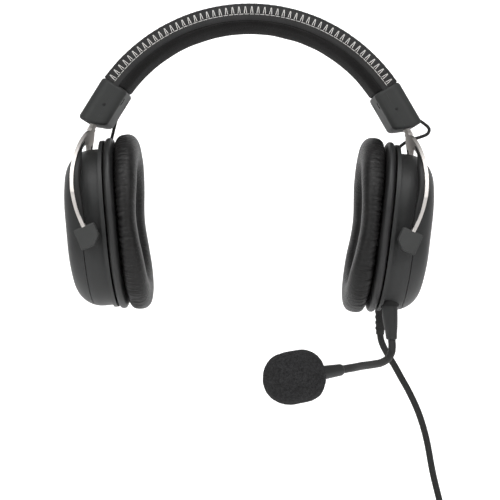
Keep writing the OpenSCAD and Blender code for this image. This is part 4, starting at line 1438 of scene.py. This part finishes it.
@dataclass
class CupPads:
    """The soft pieces of a cup: the skirt roll and the ear pad."""

    side: Side
    half: float = 9.0
    hole_r: float = 24.2
    pad_r: float = 43.6
    pad_back: float = -5.1
    pad_face: float = -20.1
    skirt_r: float = 42.2
    skirt_back: float = 0.35
    pucker: float = 1.35
    gathers: int = 88
    saddle: float = 3.2
    seat: Tuple[float, float, float] = (-81.5, 0, 7.5)
    face_turn: float = -95.9
    spine_r: float = 40.0
    wrap_r: float = 46.0

    @property
    def frame(self) -> Matrix:
        """The cup's own frame: X up, Z away from the head."""
        return (self.side.mirror() @ Matrix.Translation(self.seat)
                @ Matrix.Rotation(math.radians(self.face_turn), 4, "Y"))

    def oval(self, profile: Points, turns: int, stretches: int) -> Shape:
        """Carries a closed profile of radius and depth round the oval.

        Args:
            profile: Pairs of radius and depth.
            turns: Steps in each round end.
            stretches: Steps along each straight side.

        Returns:
            The ring.
        """
        made = Shape()
        last = made.chain([(-self.half, r, z) for r, z in profile], closed=True)
        for sign in (1, -1):
            for _ in range(stretches):
                last = bmesh.ops.extrude_edge_only(made.bm, edges=edges_of(last))["geom"]
                bmesh.ops.translate(made.bm, vec=(sign * 2 * self.half / stretches, 0, 0),
                                    verts=verts_of(last))
            last = [g for g in last if not isinstance(g, bmesh.types.BMFace)]
            last = bmesh.ops.spin(made.bm, geom=last, cent=(sign * self.half, 0, 0), axis=(0, 0, 1),
                                  angle=-math.pi, steps=turns, use_merge=False,
                                  use_duplicate=False)["geom_last"]
        return made.clean()

    def way_round(self, place: Vector) -> Tuple[float, float]:
        """Angle round the oval that advances evenly, and radius from its spine."""
        end = max(-self.half, min(self.half, place.x))
        radius = math.hypot(place.x - end, place.y)
        arc = math.pi * self.spine_r
        if abs(place.x) > self.half:
            turn = math.atan2(place.y, abs(place.x - end))
            way = (arc / 2 - turn / math.pi * arc) if place.x > 0 else (
                arc + 2 * self.half + arc / 2 + turn / math.pi * arc)
        else:
            way = -(self.half - place.x) if place.y > 0 else arc + self.half - place.x
        return 2 * math.pi * way / (2 * arc + 4 * self.half), radius

    def run(self, place: Vector) -> Tuple[float, float, float]:
        """Unrolled place on the ring, which closes on itself."""
        local = self.frame.inverted() @ place
        angle, radius = self.way_round(local)
        return self.wrap_r * math.cos(angle), self.wrap_r * math.sin(angle), radius + local.z

    @staticmethod
    def bulged(low_r: float, high_r: float, low_z: float, high_z: float, power: float,
               count: int) -> List[Tuple[float, float]]:
        """A closed profile between two radii and two depths, rounder for a lower power."""
        made = []
        for k in range(count):
            angle = 2 * math.pi * k / count
            cosine, sine = math.cos(angle), math.sin(angle)
            made.append(((low_r + high_r) / 2 + (high_r - low_r) / 2
                         * math.copysign(abs(cosine) ** (2 / power), cosine),
                         (low_z + high_z) / 2 + (high_z - low_z) / 2
                         * math.copysign(abs(sine) ** (2 / power), sine)))
        return made

    def skirt(self) -> bpy.types.Object:
        """The plump roll between the cup and the pad."""
        profile = self.bulged(self.hole_r + 0.5, self.skirt_r, -5.75, self.skirt_back, 2.7, 32)
        made = self.oval(profile, 110, 12)

        def soften(place: Vector) -> Vector:
            """Lets the roll swell and dip a little on its way round."""
            angle, radius = self.way_round(place)
            seat = Vector((5 * math.cos(angle), 5 * math.sin(angle), place.z / 3))
            swell = 0.16 * noise.noise(seat) * ease(radius, 34, 41)
            out = Vector((place.x - max(-self.half, min(self.half, place.x)), place.y, 0)).normalized()
            return place + out * swell

        made.shift(soften).place(self.frame)
        obj = made.finish(f"{self.side.word}_skirt_roll", SLEEVE_LEATHER, 180, self.run)
        return settle(obj, f"{self.side.word}_cup", f"{self.side.word}_pad_skirt")

    def pad(self) -> bpy.types.Object:
        """The ear pad, puckered where its leather is gathered into the seam."""
        middle_r, middle_z = (self.hole_r + self.pad_r) / 2, (self.pad_back + self.pad_face) / 2
        wide, deep = (self.pad_r - self.hole_r) / 2, (self.pad_back - self.pad_face) / 2
        profile = self.bulged(self.hole_r, self.pad_r, self.pad_face, self.pad_back, 2.45, 48)
        made = self.oval(profile, 260, 38)
        seed = 3.7 * self.side.value

        def gather(place: Vector) -> Vector:
            """Presses creases in near the seam and lets the face undulate."""
            angle, radius = self.way_round(place)
            across = math.degrees(math.atan2((place.z - middle_z) / deep, (radius - middle_r) / wide))
            spine = max(-self.half, min(self.half, place.x))
            away = Vector((place.x - spine, place.y, 0)).normalized()
            ahead = Vector(((radius - middle_r) / wide, (place.z - middle_z) / deep)).normalized()
            out = away * ahead.x + Vector((0, 0, ahead.y))
            near = ease(across, -38, 42) * (1 - ease(across, 100, 150))
            turn = Vector((math.cos(angle), math.sin(angle), 0)) * self.wrap_r
            slant = across / 55
            seat = Vector((turn.x / 3.6 + slant * 0.25, turn.y / 3.6, slant * 0.4 + seed))
            sharp = 1 - min(1.0, abs(noise.noise(seat)) * 2.8)
            phase = self.gathers * angle / (2 * math.pi) + 0.9 * noise.noise(turn / 9) + slant * 0.12
            reach = 0.6 + 0.9 * noise.noise(turn / 4 + Vector((0, 0, seed)))
            regular = (1 - abs(math.sin(math.pi * phase))) ** 2.2 * max(0.0, reach)
            seat_fine = Vector((turn.x / 2.4, turn.y / 2.4, slant * 0.6 + seed + 9))
            fine = 1 - min(1.0, abs(noise.noise(seat_fine)) * 3.0)
            broad = noise.noise(Vector((turn.x / 11, turn.y / 11, seed)))
            lift = 0.3 * near * broad - self.pucker * near * (
                sharp ** 1.6 * 0.35 + fine ** 2 * 0.15 + regular * 0.75)
            lift += 0.22 * noise.noise(Vector((turn.x / 16, turn.y / 16, place.z / 12 + seed)))
            lift -= 0.9 * math.exp(-((across - 62) / 16) ** 2)
            front = 1 - ease(place.z, middle_z - deep, middle_z + deep)
            fall = self.saddle * front * math.exp(-(place.x / 24) ** 2)
            return place + out * lift + Vector((0, 0, fall))

        made.shift(gather).place(self.frame)
        # The pad's leatherette is partly painted shade for its inner face.
        obj = made.finish(f"{self.side.word}_ear_cushion", SHADED_PAD_LEATHER, 180, self.run)
        return settle(obj, f"{self.side.word}_cup", f"{self.side.word}_ear_pad")

    def build(self) -> None:
        """Makes the roll and the pad."""
        self.skirt()
        self.pad()


# ------------------------------------------------------------------ boom


@dataclass
class Boom:
    """The microphone's sleeve, bending neck, barrel and windscreen."""

    seat: Tuple[float, float] = (83.8, -16.0)
    neck_r: float = 2.25
    bend_b: Tuple[float, float, float] = (57.0, -68.0, -70.5)
    screen: Tuple[float, float, float] = (24.6, -90.0, -73.8)
    screen_r: float = 14.3
    lean: float = 1.3
    screen_l: float = 30.6

    @property
    def barrel_frame(self) -> Matrix:
        """Frame at the second bend whose Z points to the windscreen."""
        return aimed(self.bend_b, self.screen)

    def sleeve(self) -> bpy.types.Object:
        """The tapered sleeve that plugs into the cup."""
        profile = [(0, -27), (4.1, -27), (4.3, -27.4), (4.3, -34), (4.55, -38.6), (4.6, -42), (4.45, -46),
                   (4.1, -50), (3.65, -53.4), (3.4, -55.2), (3.35, -56.2), (3.3, -57.4), (3.05, -58.1),
                   (2.5, -58.4), (0, -58.4)]
        made = Shape.turned(profile, 72).place(Matrix.Translation((*self.seat, 0)))
        made.shift(lambda c: Vector((c.x + self.lean * ease(c.z, -40, -60), c.y, c.z)))
        obj = made.finish("boom_sleeve", MIC_PLASTIC, 50)
        return settle(obj, "boom", "boom_plug")

    def neck(self) -> None:
        """The coated neck in two pieces, each lying across its own joint."""
        x, y = self.seat
        points = [(x + 0.9, y, -53), (x + 1.3, y - 0.2, -57.5), (x + 1.6, y - 1.2, -62), (84.7, -19.6, -66),
                  (82.2, -24.4, -69), (77.8, -31.6, -70.6), (73.2, -38.8, -70.8), (68.8, -46.2, -70.7),
                  (64.8, -53.4, -70.5), (61, -60.6, -70.5), (57.0, -67.2, -70.5), (52.6, -71.2, -70.9),
                  (47.4, -74.5, -71.5)]
        steps, parting = 6, 7
        line = smooth_line(points, steps)
        cut = parting * steps
        for word, part, bodies, start, end, nodes in (
                ("near", line[:cut + 1], ("boom", "gooseneck"), (x, y, -58), (78.5, -28, -69),
                 ["gooseneck_middle"]),
                ("far", line[cut:], ("gooseneck", "microphone"), (62, -58.7, -70.5),
                 (52.6, -71.2, -70.9), [])):
            obj = strands([part], self.neck_r, f"gooseneck_{word}", RUBBER, 5)
            if nodes:
                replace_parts(obj, *nodes)
            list(bodies)
            Vector(start) * MM
            Vector(end) * MM
            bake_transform(obj)
            LOG.info("%s blends %s and %s", obj.name, *bodies)

    def barrel(self) -> bpy.types.Object:
        """The microphone's barrel, with a moulded shoulder where the neck enters."""
        profile = [(0, 5.6), (2.5, 5.6), (3.0, 5.9), (3.25, 6.6), (3.3, 7.6), (3.35, 9), (3.55, 13),
                   (3.8, 18), (3.95, 23), (4.2, 24), (4.2, 27), (0, 27)]
        made = Shape.turned(profile, 64).place(self.barrel_frame)
        return settle(made.finish("mic_barrel", MIC_PLASTIC, 50), "microphone", "mic_housing")

    def foam(self) -> bpy.types.Object:
        """The windscreen: a blunt barrel of foam, flatter at its mouth than at its far end."""
        start, mouth = 23.3, 5.0
        profile = [(0, start + 1.6), (4.3, start + 1.3), (mouth, start + 0.7)]
        for k in range(1, 48):
            turn = math.pi * k / 48
            power = 4.0 if turn < math.pi / 2 else 2.7
            radius = self.screen_r * math.sin(turn) ** (2 / power)
            reach = math.copysign(abs(math.cos(turn)) ** (2 / power), math.cos(turn))
            if turn > 1 or radius > mouth + 0.3:
                profile.append((radius, start + self.screen_l / 2 * (1 - reach)))
        profile.append((0, start + self.screen_l))
        made = Shape.turned(profile, 120).place(self.barrel_frame)
        middle = Vector(self.screen)

        def lumps(place: Vector) -> Vector:
            """Makes the foam's skin uneven."""
            out = (place - middle).normalized()
            lift = 0.35 * noise.noise(place / 7) + 0.16 * noise.noise(place / 1.9) + 0.1 * noise.noise(place)
            return place + out * lift

        made.shift(lumps)
        obj = made.finish("foam_windscreen", MIC_FOAM, 180)
        return settle(obj, "microphone", "windscreen")

    def build(self) -> None:
        """Makes the boom's pieces."""
        self.sleeve()
        self.neck()
        self.barrel()
        self.foam()


def dress_packed_nodes() -> None:
    """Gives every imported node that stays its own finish."""
    for name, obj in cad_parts.items():
        kind = name.removeprefix("left_").removeprefix("right_")
        finish = CAD_FINISHES.get(kind)
        if finish is None:
            continue
        if obj.material_slots:
            for seat in obj.material_slots:
                seat.material = finish.material
        else:
            obj.data.materials.append(finish.material)
        LOG.info("%s is finished in %s", name, finish.name)


def main() -> None:
    """Builds the studio, the cords and every sub-assembly in order."""
    logging.basicConfig(level=logging.INFO, format="%(message)s")
    random.seed(7)
    studio = Studio()
    studio.camera()
    Cords().build()
    Headband().build()
    for side in Side:
        EndCap(side).build()
        Fork(side).build()
        CupPads(side).build()
    Boom().build()
    dress_packed_nodes()
    studio.lights()
    studio.sweep()


if __name__ == "__main__":
    main()
